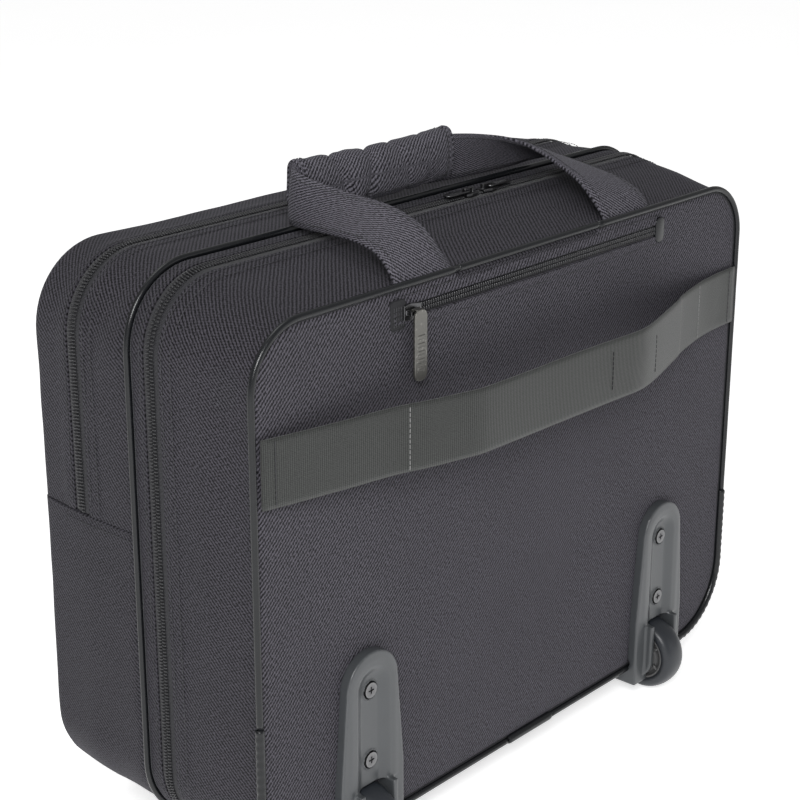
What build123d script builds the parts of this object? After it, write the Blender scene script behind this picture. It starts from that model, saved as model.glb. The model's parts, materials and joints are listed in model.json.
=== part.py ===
from build123d import *
import os
from math import cos, sin, radians, pi

os.makedirs("parts", exist_ok=True)

# ---------------------------------------------------------------- driving dimensions (mm)
W = 444.0              # back panel width
H = 313.0              # back panel height
HW = W / 2
GROUND = 23.0          # back panel's lower edge above the ground
Y_CENTRE = 66.9        # back panel plane ahead of the case's middle, so the footprint is centred
R_TOP = 34.0           # back panel top corner radius
R_BOT = 45.0           # back panel bottom corner radius
PANEL_T = 2.8          # back board with its cloth
WALL = 2.5             # cloth, foam and lining of a gusset

Y_ZIP = 70.0           # main zip centre line, depth from the back panel
Y_PIPE = 86.0          # divider panel and its piping
Y_ORG = 133.0          # organiser zip centre line
Y_FRONT = 172.0        # front face
Z_SEAM = 183.0         # top of the lower front pocket
GAP = 0.15             # half the clearance between two halves of a zip

WEB_T = 1.6            # trolley strap webbing
WEB_Z0, WEB_Z1 = 219.5, 257.6
BACK_ZIP_X0, BACK_ZIP_X1, BACK_ZIP_Z = -118.0, 134.0, 299.5

WHEEL_X = 142.5        # wheel plane from the middle
WHEEL_R = 25.0
WHEEL_W = 20.0
WHEEL_Y, WHEEL_Z = 1.0, 2.0
AXLE_R = 3.0
BEARING_BORE_R = 3.05
BEARING_R = 8.0

TUBE_X = 50.0          # pull handle tube centre from the middle
TUBE_Y = 19.0
TUBES = [(22.0, 15.0), (19.4, 12.4), (16.8, 9.8), (14.2, 7.2)]   # outside width and depth of each stage
TUBE_WALL = 1.0
TRAVEL = 205.0         # travel of each moving stage
SLOT_X = 65.0          # half width of the soft handle slot in the top

CARRY_Y, CARRY_Z = 3.0, H + 2.5     # line on which the carry handle lifts

# Everything is drawn with x across, y from the back panel towards the front, z up from the
# back panel's lower edge, then turned half a turn about Z and set on its wheels.


def place(shape):
    return Pos(0, Y_CENTRE, GROUND) * (Rot(0, 0, 180) * shape)


def solids_of(shape):
    if isinstance(shape, (list, tuple)):
        out = []
        for s in shape:
            out += solids_of(s)
        return out
    return list(shape.solids())


def save(name, shape):
    found = [place(s) for s in solids_of(shape)]
    export_step(found[0] if len(found) == 1 else Compound(children=found), f"parts/{name}.step")


def box(x0, x1, y0, y1, z0, z1):
    return Pos((x0 + x1) / 2, (y0 + y1) / 2, (z0 + z1) / 2) * Box(x1 - x0, y1 - y0, z1 - z0)


def cyl(axis, centre, r, length):
    c = Cylinder(r, length)
    if axis == "x":
        c = Rot(0, 90, 0) * c
    if axis == "y":
        c = Rot(90, 0, 0) * c
    return Pos(*centre) * c


# ---------------------------------------------------------------- the bag's outer shape
# half width, lower edge, upper edge, top radius and bottom radius at a depth
STATIONS = {
    0.0: (HW, 0.0, H, R_TOP, R_BOT),
    35.0: (HW + 3.5, -0.6, H + 8.0, 38.0, 45.0),
    70.0: (HW + 5.0, -1.0, H + 14.5, 42.0, 45.0),
    86.0: (HW + 5.0, -1.0, H + 15.0, 42.0, 45.0),
    133.0: (HW + 5.0, -1.0, H + 15.5, 44.0, 45.0),
    165.0: (HW + 3.0, 0.0, H + 14.0, 46.0, 45.0),
    172.0: (HW - 4.0, 7.0, H + 7.0, 46.0, 42.0),
}


def station(y):
    ys = sorted(STATIONS)
    for y0, y1 in zip(ys, ys[1:]):
        if y0 <= y <= y1:
            t = (y - y0) / (y1 - y0)
            return tuple(a + (b - a) * t for a, b in zip(STATIONS[y0], STATIONS[y1]))
    return STATIONS[ys[-1] if y > 0 else ys[0]]


def outline(y, inset=0.0):
    """Rounded rectangle, as a face in the plane at depth y."""
    hw, z0, z1, rt, rb = station(y)
    hw, z0, z1, rt, rb = hw - inset, z0 + inset, z1 - inset, rt - inset, rb - inset
    k = 0.70710678
    def P(x, z):
        return (x, y, z)
    e = [
        Edge.make_line(P(-hw + rb, z0), P(hw - rb, z0)),
        Edge.make_three_point_arc(P(hw - rb, z0), P(hw - rb + rb * k, z0 + rb - rb * k), P(hw, z0 + rb)),
        Edge.make_line(P(hw, z0 + rb), P(hw, z1 - rt)),
        Edge.make_three_point_arc(P(hw, z1 - rt), P(hw - rt + rt * k, z1 - rt + rt * k), P(hw - rt, z1)),
        Edge.make_line(P(hw - rt, z1), P(-hw + rt, z1)),
        Edge.make_three_point_arc(P(-hw + rt, z1), P(-hw + rt - rt * k, z1 - rt + rt * k), P(-hw, z1 - rt)),
        Edge.make_line(P(-hw, z1 - rt), P(-hw, z0 + rb)),
        Edge.make_three_point_arc(P(-hw, z0 + rb), P(-hw + rb - rb * k, z0 + rb - rb * k), P(-hw + rb, z0)),
    ]
    return Face(Wire(e))


def mass(y0, y1, inset=0.0):
    """Solid of the outer shape between two depths."""
    ys = [y0] + [y for y in sorted(STATIONS) if y0 < y < y1] + [y1]
    parts = [loft([outline(a, inset), outline(b, inset)], ruled=True) for a, b in zip(ys, ys[1:])]
    out = parts[0]
    for p in parts[1:]:
        out = out + p
    return out


def ring(y0, y1, t=WALL, proud=0.0):
    return mass(y0, y1, -proud) - mass(y0, y1, t)


def plate(y0, y1, inset=0.0, at=None):
    f = outline(y0 if at is None else at, inset)
    s = extrude(f, amount=y1 - y0, dir=(0, 1, 0))
    return s if at is None else Pos(0, y0 - at, 0) * s


U_CUT = 14.0           # the main zip stops this far above the bottom

# ---------------------------------------------------------------- rear section (root)
zip_window = box(BACK_ZIP_X0, BACK_ZIP_X1, -1, PANEL_T + 1, BACK_ZIP_Z - 7.5, BACK_ZIP_Z + 7.5)
slot = box(-SLOT_X, SLOT_X, -1, 34.5, H - 5.0, H + 30)
back_panel = plate(0, PANEL_T) - zip_window - slot

flap = (mass(3.0, 34.2) - mass(3.0, 34.2, WALL)) & box(-SLOT_X + 0.3, SLOT_X - 0.3, 3.0, 34.2, H - 4.7, H + 30)
flap = flap + box(-SLOT_X + 0.3, SLOT_X - 0.3, 0.0, PANEL_T, BACK_ZIP_Z + 8.7, H - 0.01) 
flap = flap + box(-SLOT_X + 0.3, SLOT_X - 0.3, 2.0, 4.0, H - 2.4, H - 0.2)

rear = ring(3.0, 64.0) + (ring(64.0, Y_ZIP - GAP) & box(-300, 300, 0, 200, -20, U_CUT)) - slot
save("main_zip_rear", ring(64.0, Y_ZIP - GAP, 1.6, 0.5) & box(-300, 300, 0, 200, U_CUT + 0.02, 500))

# piping: a round cord along the back panel's edge, open at the handle slot
def piping(y, r, out=0.9):
    hw, z0, z1, rt, rb = station(y)
    hw, z0, z1, rt, rb = hw + out, z0 - out, z1 + out, rt + out, rb + out
    k = 0.70710678
    e = [
        Edge.make_line((-hw + rb, y, z0), (hw - rb, y, z0)),
        Edge.make_three_point_arc((hw - rb, y, z0), (hw - rb + rb * k, y, z0 + rb - rb * k), (hw, y, z0 + rb)),
        Edge.make_line((hw, y, z0 + rb), (hw, y, z1 - rt)),
        Edge.make_three_point_arc((hw, y, z1 - rt), (hw - rt + rt * k, y, z1 - rt + rt * k), (hw - rt, y, z1)),
        Edge.make_line((hw - rt, y, z1), (-hw + rt, y, z1)),
        Edge.make_three_point_arc((-hw + rt, y, z1), (-hw + rt - rt * k, y, z1 - rt + rt * k), (-hw, y, z1 - rt)),
        Edge.make_line((-hw, y, z1 - rt), (-hw, y, z0 + rb)),
        Edge.make_three_point_arc((-hw, y, z0 + rb), (-hw + rb - rb * k, y, z0 + rb - rb * k), (-hw + rb, y, z0)),
    ]
    path = Wire(e)
    section = Plane(origin=(0, y, z0), z_dir=(1, 0, 0)) * Circle(r)
    # start the sweep in the middle of the lower run
    e2 = [Edge.make_line((0, y, z0), (hw - rb, y, z0))] + e[1:] + [Edge.make_line((-hw + rb, y, z0), (0, y, z0))]
    return sweep(section, path=Wire(e2)), (hw, z0, z1, rt, rb)


PIPE_R = 2.0
pipe_back, (p_hw, p_z0, p_z1, p_rt, p_rb) = piping(0.0, PIPE_R, 1.6)
pipe_cut = mass(0.0, 3.0) + plate(-0.02, PANEL_T) + ring(3.0, 20.0)
sleeve_zone_l = box(-300, -HW + R_BOT + 2, -10, 10, -20, 97)
sleeve_zone_r = box(HW - R_BOT - 2, 300, -10, 10, -20, 97)
joint_zone = box(-12.5, 32.0, -10, 10, -20, 20)
wheel_zone = Pos(0, 0, 0) * (box(-WHEEL_X - 28, -WHEEL_X + 28, -40, 40, -40, 20) + box(WHEEL_X - 28, WHEEL_X + 28, -40, 40, -40, 20))
outer_pipe = pipe_back - mass(0.0, 20.0) - plate(-0.05, 0.05)
back_pipe = outer_pipe - box(-SLOT_X, SLOT_X, -10, 10, H - 10, H + 10) - sleeve_zone_l - sleeve_zone_r - joint_zone - wheel_zone
save("back_piping", back_pipe)
slot_pipe = outer_pipe & box(-SLOT_X + 0.3, SLOT_X - 0.3, -10, 10, H - 10, H + 10)
save("handle_flap", [flap, slot_pipe])

thick_pipe, _ = piping(0.0, 3.0, 1.6)
thick_pipe = thick_pipe - mass(0.0, 20.0) - plate(-0.05, 0.05)
save("piping_sleeves", [thick_pipe & box(-300, -HW + R_BOT + 2, -10, 10, -20, 97) , thick_pipe & box(HW - R_BOT - 2, 300, -10, 10, -20, 97), thick_pipe & joint_zone])

# trolley strap: webbing sewn into both side seams, standing off the panel in a low arch
WEB_PATH = [(-219.6, -2.2), (-196, -7.5), (-166, -13.5), (-147, -17), (-134, -20), (-117, -25.5), (-98, -30.5), (-86, -33.5),
            (-72, -34.6), (-25, -35.2), (19, -36.2), (43, -37.0), (58, -37.4), (70, -36.2), (88, -31.6), (108, -25.4),
            (130, -18.2), (140, -14.4), (173, -6.5), (196, -3.4), (219.6, -2.2)]


def band(path, t, z0, z1):
    """Flat strip with its faces along a path in plan."""
    left, right = [], []
    n = len(path)
    for i, (x, y) in enumerate(path):
        x0, y0 = path[max(i - 1, 0)]
        x1, y1 = path[min(i + 1, n - 1)]
        dx, dy = x1 - x0, y1 - y0
        d = (dx * dx + dy * dy) ** 0.5
        left.append((x - dy / d * t / 2, y + dx / d * t / 2))
        right.append((x + dy / d * t / 2, y - dx / d * t / 2))
    pts = left + right[::-1]
    f = make_face(Polyline(*[(x, y, z0) for x, y in pts], close=True))
    return extrude(f, amount=z1 - z0, dir=(0, 0, 1))


trolley = band(WEB_PATH, WEB_T, WEB_Z0, WEB_Z1)
trolley = trolley + box(-221.6, -219.0, -2.8, -0.02, WEB_Z0, WEB_Z1) + box(219.0, 221.6, -2.8, -0.02, WEB_Z0, WEB_Z1)
trolley = trolley - outer_pipe
save("trolley_strap", max(trolley.solids(), key=lambda s: s.volume))

# back pocket zip
tape = box(BACK_ZIP_X0 + 0.1, BACK_ZIP_X1 - 0.1, 0.9, 1.9, BACK_ZIP_Z - 7.4, BACK_ZIP_Z + 7.4)
save("back_zip", tape + box(BACK_ZIP_X0 + 6, BACK_ZIP_X1 - 4, -0.6, 0.95, BACK_ZIP_Z - 2.6, BACK_ZIP_Z + 2.6))

# trolley handle well: the liner between the pull handle and the main compartment
liner = plate(34.6, 36.0, 3.2, at=35.0) 
save("rear_liner", liner)
# stiff base board inside the bottom
save("base_board", box(-150, 150, 36.2, 63.5, 1.9, 4.4))

# laptop sleeve: padded front panel on spacers, with a hold-down strap
lap = box(-180, 180, 58.0, 62.0, 9.0, 238.0)
lap = fillet([e for e in lap.edges().filter_by(Axis.Y) if e.center().Z > 200], 18)
save("laptop_pad", lap + box(-180, -176, 36.2, 58.5, 9.0, 238.0 - 20) + box(176, 180, 36.2, 58.5, 9.0, 238.0 - 20))
lapstrap = box(-15, 15, 36.2, 37.4, 200, 252) + box(-15, 15, 36.2, 63.4, 250.8, 252) + box(-15, 15, 62.2, 63.4, 205, 252)
save("laptop_hold_strap", lapstrap)
save("laptop_back_foam", box(-172, 172, 36.2, 41.2, 9.0, 198.0))

# ---------------------------------------------------------------- pull handle
def tube(i, z0, z1, x):
    w, d = TUBES[i]
    outer = extrude(RectangleRounded(w, d, d / 2 - 0.05), amount=z1 - z0)
    inner = extrude(RectangleRounded(w - 2 * TUBE_WALL, d - 2 * TUBE_WALL, d / 2 - TUBE_WALL - 0.05), amount=z1 - z0)
    return Pos(x, TUBE_Y, z0) * (outer - inner)


def collar(i, z0, z1, x, lip):
    """Plastic bush in the mouth of tube i, around tube i+1."""
    w, d = TUBES[i]
    w2, d2 = TUBES[i + 1]
    w2, d2 = w2 + 0.3, d2 + 0.3
    outer = extrude(RectangleRounded(w + 2 * lip, d + 2 * lip, d / 2 + lip - 0.05), amount=z1 - z0)
    inner = extrude(RectangleRounded(w2, d2, d2 / 2 - 0.05), amount=z1 - z0)
    return Pos(x, TUBE_Y, z0) * (outer - inner)


Z_OUT = 262.0
xs = (-TUBE_X, TUBE_X)
save("handle_outer_tubes", [tube(0, 14.0, Z_OUT, x) for x in xs])
save("handle_outer_collars", [collar(0, Z_OUT, Z_OUT + 6, x, 1.2) for x in xs])
save("stage_1_tubes", [tube(1, 20.0, Z_OUT + 6.4, x) for x in xs])
save("stage_1_collars", [collar(1, Z_OUT + 6.4, Z_OUT + 11.4, x, 0.8) for x in xs])
save("stage_2_tubes", [tube(2, 24.0, Z_OUT + 11.8, x) for x in xs])
save("stage_2_collars", [collar(2, Z_OUT + 11.8, Z_OUT + 16.4, x, 0.8) for x in xs])
save("stage_3_tubes", [tube(3, 28.0, Z_OUT + 26.0, x) for x in xs])

# grip: a rounded bar with a well for the push button, on the last stage's tubes
GZ0, GZ1 = Z_OUT + 17.2, 309.0
GD = 22.0
grip = Pos(0, TUBE_Y, GZ0) * extrude(RectangleRounded(122.0, GD, 8.0), amount=GZ1 - GZ0)
grip = fillet([e for e in grip.edges().filter_by(Plane.XY) if e.center().Z > GZ1 - 1], 6.5)
for x in xs:
    grip = grip - (Pos(x, TUBE_Y, GZ0 - 1) * extrude(RectangleRounded(TUBES[3][0], TUBES[3][1], TUBES[3][1] / 2 - 0.05), amount=Z_OUT + 26.0 - GZ0 + 1))
BTN_W, BTN_D = 34.0, 11.0
well = Pos(0, TUBE_Y, GZ1 - 16) * extrude(RectangleRounded(BTN_W + 0.8, BTN_D + 0.8, 4.4), amount=30)
grip = grip - well
save("pull_grip", grip)
button = Pos(0, TUBE_Y, GZ1 - 9.5) * extrude(RectangleRounded(BTN_W, BTN_D, 4.0), amount=11.0)
button = fillet([e for e in button.edges().filter_by(Plane.XY) if e.center().Z > GZ1 + 1], 1.2)
save("grip_button", button)
spring = Pos(0, TUBE_Y, GZ1 - 16) * (extrude(Circle(3.6), amount=6.45) - extrude(Circle(2.6), amount=6.45))
save("button_spring", spring)

# lower and upper brackets which hold the outer tubes to the back board
def clear_tubes(shape, z0, z1):
    w, d = TUBES[0]
    for x in xs:
        shape = shape - Pos(x, TUBE_Y, z0) * extrude(RectangleRounded(w, d, d / 2 - 0.05), amount=z1 - z0)
    return shape


low = box(-76, 76, PANEL_T + 0.2, 30.0, 4.0, 34.0)
low = fillet(low.edges().filter_by(Axis.Y), 5)
low = clear_tubes(low, 14.0, 60.0)
low = low - box(-32, 32, 8, 40, 9, 29)
save("handle_lower_bracket", low)
up = box(-70, 70, 2 * PANEL_T, 29.5, 240.0, 255.0)
up = fillet(up.edges().filter_by(Axis.Z), 5)
up = clear_tubes(up, 200.0, 280.0)
up = up - box(-33, 33, 9, 40, 230, 270)
up = up + box(-70, 70, PANEL_T + 0.2, 2 * PANEL_T + 0.5, 240.0, 255.0)
save("handle_upper_bracket", up)


def screw(x, y, z, r_head=4.2, head=1.8, r=1.7, length=10.0, inward=1):
    """Pan head screw along y with a cross recess; its head's outer face is at y."""
    s = cyl("y", (x, y + inward * head / 2, z), r_head, head)
    s = s + cyl("y", (x, y + inward * (head + length / 2), z), r, length)
    slot_a = box(x - 2.2, x + 2.2, min(y, y + inward * 0.9), max(y, y + inward * 0.9), z - 0.45, z + 0.45)
    slot_b = box(x - 0.45, x + 0.45, min(y, y + inward * 0.9), max(y, y + inward * 0.9), z - 2.2, z + 2.2)
    return s - slot_a - slot_b


# ---------------------------------------------------------------- wheel housings
def housing(sx):
    """Moulded plastic bracket screwed to the back board, with a fork for the wheel below."""
    cx = sx * WHEEL_X
    # outline seen from behind: sides draw in towards a round top
    e = [
        Edge.make_line((cx - 26, 0, -3), (cx + 26, 0, -3)),
        Edge.make_line((cx + 26, 0, -3), (cx + 26, 0, 34)),
        Edge.make_line((cx + 26, 0, 34), (cx + 21.0, 0, 91.5)),
        Edge.make_three_point_arc((cx + 21.0, 0, 91.5), (cx, 0, 112.5), (cx - 21.0, 0, 91.5)),
        Edge.make_line((cx - 21.0, 0, 91.5), (cx - 26, 0, 34)),
        Edge.make_line((cx - 26, 0, 34), (cx - 26, 0, -3)),
    ]
    f = Face(Wire(e))
    plate_s = Pos(0, -7.0, 0) * extrude(f, amount=6.98, dir=(0, 1, 0))
    # deeper block round the wheel: goes under the bottom and in front
    block = box(cx - 26, cx + 26, -7.0, 31.0, -13.0, -1.2)
    block = block - mass(0.0, 35.0) - mass(-0.0, 35.0, -0.15)
    block = block + box(cx - 26, cx + 26, -7.0, -0.02, -13.0, 0)
    body = plate_s + block
    # wheel arch
    arch = cyl("x", (cx, WHEEL_Y, WHEEL_Z), WHEEL_R + 2.0, WHEEL_W + 3.0)
    body = body - arch
    # recessed channel down the middle with a raised rim
    ch = [
        Edge.make_line((cx - 13, -7.1, 20), (cx + 13, -7.1, 20)),
        Edge.make_line((cx + 13, -7.1, 20), (cx + 12.5, -7.1, 90)),
        Edge.make_three_point_arc((cx + 12.5, -7.1, 90), (cx, -7.1, 102.5), (cx - 12.5, -7.1, 90)),
        Edge.make_line((cx - 12.5, -7.1, 90), (cx - 13, -7.1, 20)),
    ]
    body = body - extrude(Face(Wire(ch)), amount=2.0, dir=(0, 1, 0))
    for z in (88.0, 44.0):
        body = body - cyl("y", (cx, -3.0, z), 5.4, 4.6)
        body = body - cyl("y", (cx, -1.0, z), 1.75, 20)
    # the case's bottom passes behind, the wheel pocket in the bag is cut by the same arch
    body = body - cyl("x", (cx, WHEEL_Y, WHEEL_Z), AXLE_R + 0.02, 60)
    return max(body.solids(), key=lambda s: s.volume)


def wheel_pocket(sx):
    cx = sx * WHEEL_X
    return cyl("x", (cx, WHEEL_Y, WHEEL_Z), WHEEL_R + 3.0, WHEEL_W + 4.2) & box(cx - 40, cx + 40, -40, 60, -60, 60)


housings = {}
for sx, side in ((-1, "a"), (1, "b")):
    housings[side] = housing(sx)


def fork(sx):
    """Two ears beside the wheel that hold the axle, joined by an arch over it."""
    cx = sx * WHEEL_X
    wi = WHEEL_W / 2 + 1.5
    wo = WHEEL_W / 2 + 5.5
    out = None
    for s in (-1, 1):
        x0, x1 = sorted((cx + s * wi, cx + s * wo))
        ear = cyl("x", ((x0 + x1) / 2, WHEEL_Y, WHEEL_Z), 13.0, x1 - x0) + box(x0, x1, WHEEL_Y - 13, WHEEL_Y + 26, WHEEL_Z, 28)
        out = ear if out is None else out + ear
    roof = cyl("x", (cx, WHEEL_Y, WHEEL_Z), WHEEL_R + 4.5, 2 * wo) - cyl("x", (cx, WHEEL_Y, WHEEL_Z), WHEEL_R + 2.0, 3 * wo)
    roof = roof & box(cx - wo, cx + wo, WHEEL_Y - 8.0, 60, 8, 60)
    out = out + roof
    out = out - cyl("x", (cx, WHEEL_Y, WHEEL_Z), AXLE_R + 0.02, 80)
    return out


def bay(sx):
    """Space the housing takes inside the bag's lower rear edge."""
    cx = sx * WHEEL_X
    return box(cx - 17, cx + 17, -10, WHEEL_Y + WHEEL_R + 6.5, -30, WHEEL_Z + WHEEL_R + 6.5)


rear2 = rear - bay(-1) - bay(1)
panel2 = back_panel - bay(-1) - bay(1)
for sx in (-1, 1):
    for z in (88.0, 44.0):
        panel2 = panel2 - cyl("y", (sx * WHEEL_X, 1.4, z), 1.75, 6)
save("rear_gusset", rear2)
save("back_panel", panel2)
for sx, side in ((-1, "left"), (1, "right")):
    # the row's +X is the local -x, so the side names below follow the finished row
    h = housings["a" if sx < 0 else "b"]
    shell = h + fork(sx)
    shell = shell - cyl("x", (sx * WHEEL_X, WHEEL_Y, WHEEL_Z), WHEEL_R + 2.0, WHEEL_W + 3.0)
    shell = max(shell.solids(), key=lambda s: s.volume)
    if sx < 0:
        house_l = shell
    else:
        house_r = shell
save("wheel_housing_left", house_l)
save("wheel_housing_right", house_r)
save("wheel_axles", [cyl("x", (sx * WHEEL_X, WHEEL_Y, WHEEL_Z), AXLE_R, WHEEL_W + 11.0) for sx in (-1, 1)])
save("housing_screws", [screw(sx * WHEEL_X, -5.28, z, r_head=4.6, head=2.0, r=1.7, length=9.0) for sx in (-1, 1) for z in (88.0, 44.0)])

# ---------------------------------------------------------------- wheels
def profile_wheel(cx, pts):
    """Turn a closed (radius, x) outline about the wheel axis."""
    f = make_face(Polyline(*[(x, 0, r) for r, x in pts], close=True))
    return Pos(cx, WHEEL_Y, WHEEL_Z) * revolve(f, axis=Axis.X, revolution_arc=360)


for sx, side in ((-1, "left"), (1, "right")):
    cx = sx * WHEEL_X
    w = WHEEL_W / 2
    tyre_pts = [(17.0, -w + 1.5), (20.0, -w), (22.2, -w + 1.0), (23.8, -w + 3.2), (24.7, -w + 6.2), (25.0, 0),
                (24.7, w - 6.2), (23.8, w - 3.2), (22.2, w - 1.0), (20.0, w), (17.0, w - 1.5)]
    save(f"wheel_tyre_{side}", profile_wheel(cx, tyre_pts))
    hub_pts = [(8.02, -w + 1.0), (10.5, -w + 1.0), (11.0, -w + 3.5), (15.0, -w + 3.5), (15.5, -w + 1.6), (16.98, -w + 1.6),
               (16.98, w - 1.6), (15.5, w - 1.6), (15.0, w - 3.5), (11.0, w - 3.5), (10.5, w - 1.0), (8.02, w - 1.0)]
    save(f"wheel_hub_{side}", profile_wheel(cx, hub_pts))
    rings = []
    for s in (-1, 1):
        x0, x1 = sorted((s * (w - 6.0), s * (w - 0.6)))
        b = Pos(cx + (x0 + x1) / 2, WHEEL_Y, WHEEL_Z) * (Rot(0, 90, 0) * (Cylinder(8.0, x1 - x0) - Cylinder(BEARING_BORE_R, x1 - x0)))
        rings.append(b)
    save(f"wheel_bearings_{side}", rings)

# ---------------------------------------------------------------- carry handle
C = H                  # heights below are above the back panel's top edge


def ribbon(stations, t):
    """Twisted strip: each station gives its two edges as (x, y, z)."""
    faces = []
    for i, (p, q) in enumerate(stations):
        a0, b0 = stations[max(i - 1, 0)]
        a1, b1 = stations[min(i + 1, len(stations) - 1)]
        p, q = Vector(*p), Vector(*q)
        along = (Vector(*a1) + Vector(*b1)) - (Vector(*a0) + Vector(*b0))
        n = (q - p).cross(along).normalized() * (t / 2)
        faces.append(Face(Wire.make_polygon([p + n, q + n, q - n, p - n])))
    return loft(faces, ruled=True)


def hz(u, y, z):
    return (u, y, C + z)


left_st = [
    (hz(-113.5, 5.5, 6.0), hz(-67.0, 6.7, 5.0)),
    (hz(-113.5, 11.0, 13.5), hz(-70.0, 10.0, 11.5)),
    (hz(-113.0, 20.0, 18.5), hz(-77.0, 16.9, 25.0)),
    (hz(-113.0, 35.5, 21.5), hz(-88.0, 28.9, 36.0)),
    (hz(-112.0, 57.9, 22.6), hz(-98.0, 49.2, 41.5)),
    (hz(-111.0, 76.0, 22.6), hz(-104.0, 75.0, 47.0)),
]
save("carry_strap_left", ribbon(left_st, 3.0))
right_st = [
    (hz(75.5, 5.8, 6.0), hz(122.0, 6.2, 6.0)),
    (hz(75.5, 13.2, 14.0), hz(122.0, 13.0, 11.5)),
    (hz(77.0, 24.8, 23.0), hz(122.5, 27.2, 16.5)),
    (hz(81.0, 42.0, 29.0), hz(122.0, 47.5, 20.5)),
    (hz(86.0, 58.0, 34.5), hz(120.0, 66.0, 22.5)),
    (hz(92.0, 72.0, 38.5), hz(116.0, 80.0, 22.5)),
]
save("carry_strap_right", ribbon(right_st, 3.0))
# padded wrap: rounded bar on its edge
wrap = Pos(-34.0, 91.0, C + 37.6) * (Rot(0, 90, 0) * extrude(RectangleRounded(36.0, 16.0, 7.5), amount=132.0, both=False))
wrap = Pos(-66.0, 0, 0) * wrap
core = box(-116.0, 108.0, 89.6, 92.4, C + 21.0, C + 43.0)
save("carry_wrap", wrap - box(-120.0, 120.0, 89.6, 92.4, C + 21.0, C + 43.0))
core_l = box(-111.2, -101.0, 77.2, 92.4, C + 22.5, C + 43.0)
core_r = box(100.0, 108.0, 81.8, 92.4, C + 23.2, C + 37.0)
save("carry_core", core + core_l + core_r)

# ---------------------------------------------------------------- front section
front_y0 = Y_ZIP + GAP
save("main_zip_front", ring(front_y0, 76.0, 1.6, 0.5) & box(-300, 300, 0, 200, U_CUT + 0.02, 500))
mid = ring(76.0, Y_PIPE) + (ring(front_y0, 76.0) & box(-300, 300, 0, 200, -20, U_CUT))
save("mid_gusset", mid)
save("divider_panel", plate(Y_PIPE, Y_PIPE + 2.6, 0.0))
pipe_mid, _ = piping(Y_PIPE + 1.3, 1.8, 1.86)
save("mid_piping", pipe_mid)
y_org0 = Y_PIPE + 2.6
upper_zone = box(-300, 300, 0, 300, Z_SEAM, 500)
org = ring(y_org0, 127.0) & upper_zone
save("organiser_gusset", org)
save("organiser_zip_rear", ring(127.0, Y_ORG - GAP, 1.6, 0.5) & box(-300, 300, 0, 300, Z_SEAM + 0.2, 500))
whole = mass(y_org0, Y_FRONT)
inner = mass(y_org0, Y_FRONT - WALL, WALL)
pocket = (whole - inner) & box(-300, 300, 0, 300, -20, Z_SEAM - 0.02)
save("lower_pocket", pocket)
# organiser panel with pen loops and card slots, hung in front of the divider
op = box(-185, 185, 91.0, 92.6, 60, 296)
slots = [box(-160, -60, 92.6, 94.6, 150, 236), box(-50, 50, 92.6, 94.6, 150, 222), box(60, 160, 92.6, 94.6, 150, 236)]
pens = [box(-56 + i * 28, -56 + i * 28 + 18, 92.6, 98.0, 240, 268) - box(-56 + i * 28 + 1.4, -56 + i * 28 + 16.6, 92.6, 96.6, 239, 269) for i in range(4)]
save("organiser_panel", op + box(-185, 185, y_org0, 92.0, 290, 296))
save("organiser_pockets", slots + [p + box(-56 + i * 28, -56 + i * 28 + 18, 92.6, 93.4, 240, 268) for i, p in enumerate(pens)])
feet = []
for s in (-1, 1):
    x = s * 130.0
    foot = Pos(x, 146.0, -GROUND) * (loft([Face(Wire.make_polygon([(-13, -8, 0), (13, -8, 0), (13, 8, 0), (-13, 8, 0)])),
                                           Face(Wire.make_polygon([(-19, -14, 22.4), (19, -14, 22.4), (19, 14, 22.4), (-19, 14, 22.4)]))], ruled=True))
    foot = foot - mass(y_org0, Y_FRONT)
    feet.append(max(foot.solids(), key=lambda q: q.volume))
save("front_feet", feet)

# ---------------------------------------------------------------- organiser flap
y_f0 = Y_ORG + GAP
flap_zone = box(-300, 300, 0, 300, Z_SEAM + 0.35, 500)
save("organiser_zip_front", ring(y_f0, 139.0, 1.6, 0.5) & flap_zone)
shell = mass(139.0, Y_FRONT) - mass(139.0, Y_FRONT - WALL, WALL)
shell = shell & flap_zone
save("front_flap", max(shell.solids(), key=lambda q: q.volume))
save("flap_inner_pocket", box(-150, 150, Y_FRONT - WALL - 1.6, Y_FRONT - WALL - 0.02, 200, 290))

# ---------------------------------------------------------------- zip sliders and pull tabs
TOP70 = station(70.0)[2]


def slider(length, width, height):
    """Cast slider: wedge-shaped plate with a bridge on top; its travel is along x, its top is +z."""
    pts = [(-length / 2, -width * 0.36), (length * 0.1, -width / 2), (length / 2, -width * 0.42), (length / 2, width * 0.42),
           (length * 0.1, width / 2), (-length / 2, width * 0.36)]
    base = extrude(make_face(Polyline(*[(x, y, 0) for x, y in pts], close=True)), amount=1.7)
    bridge = box(-length * 0.38, length * 0.38, -1.1, 1.1, 1.69, 2.4 + height)
    hole = box(-length * 0.24, length * 0.24, -2, 2, 1.7, 1.7 + height)
    return base + (bridge - hole)


def tab(length, width, t):
    """Flat tab, rounded at its end, with raised ribs. It runs from x = 0 towards +x, lying on z = 0."""
    s = extrude(Pos(length / 2, 0) * RectangleRounded(length, width, width * 0.42), amount=t)
    s = s - box(1.8, 5.2, -width * 0.22, width * 0.22, -1, t + 1)
    for i in range(5):
        x = length * 0.36 + i * length * 0.11
        s = s + box(x, x + length * 0.045, -width * 0.26, width * 0.26, t - 0.01, t + 0.35)
    return s


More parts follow.
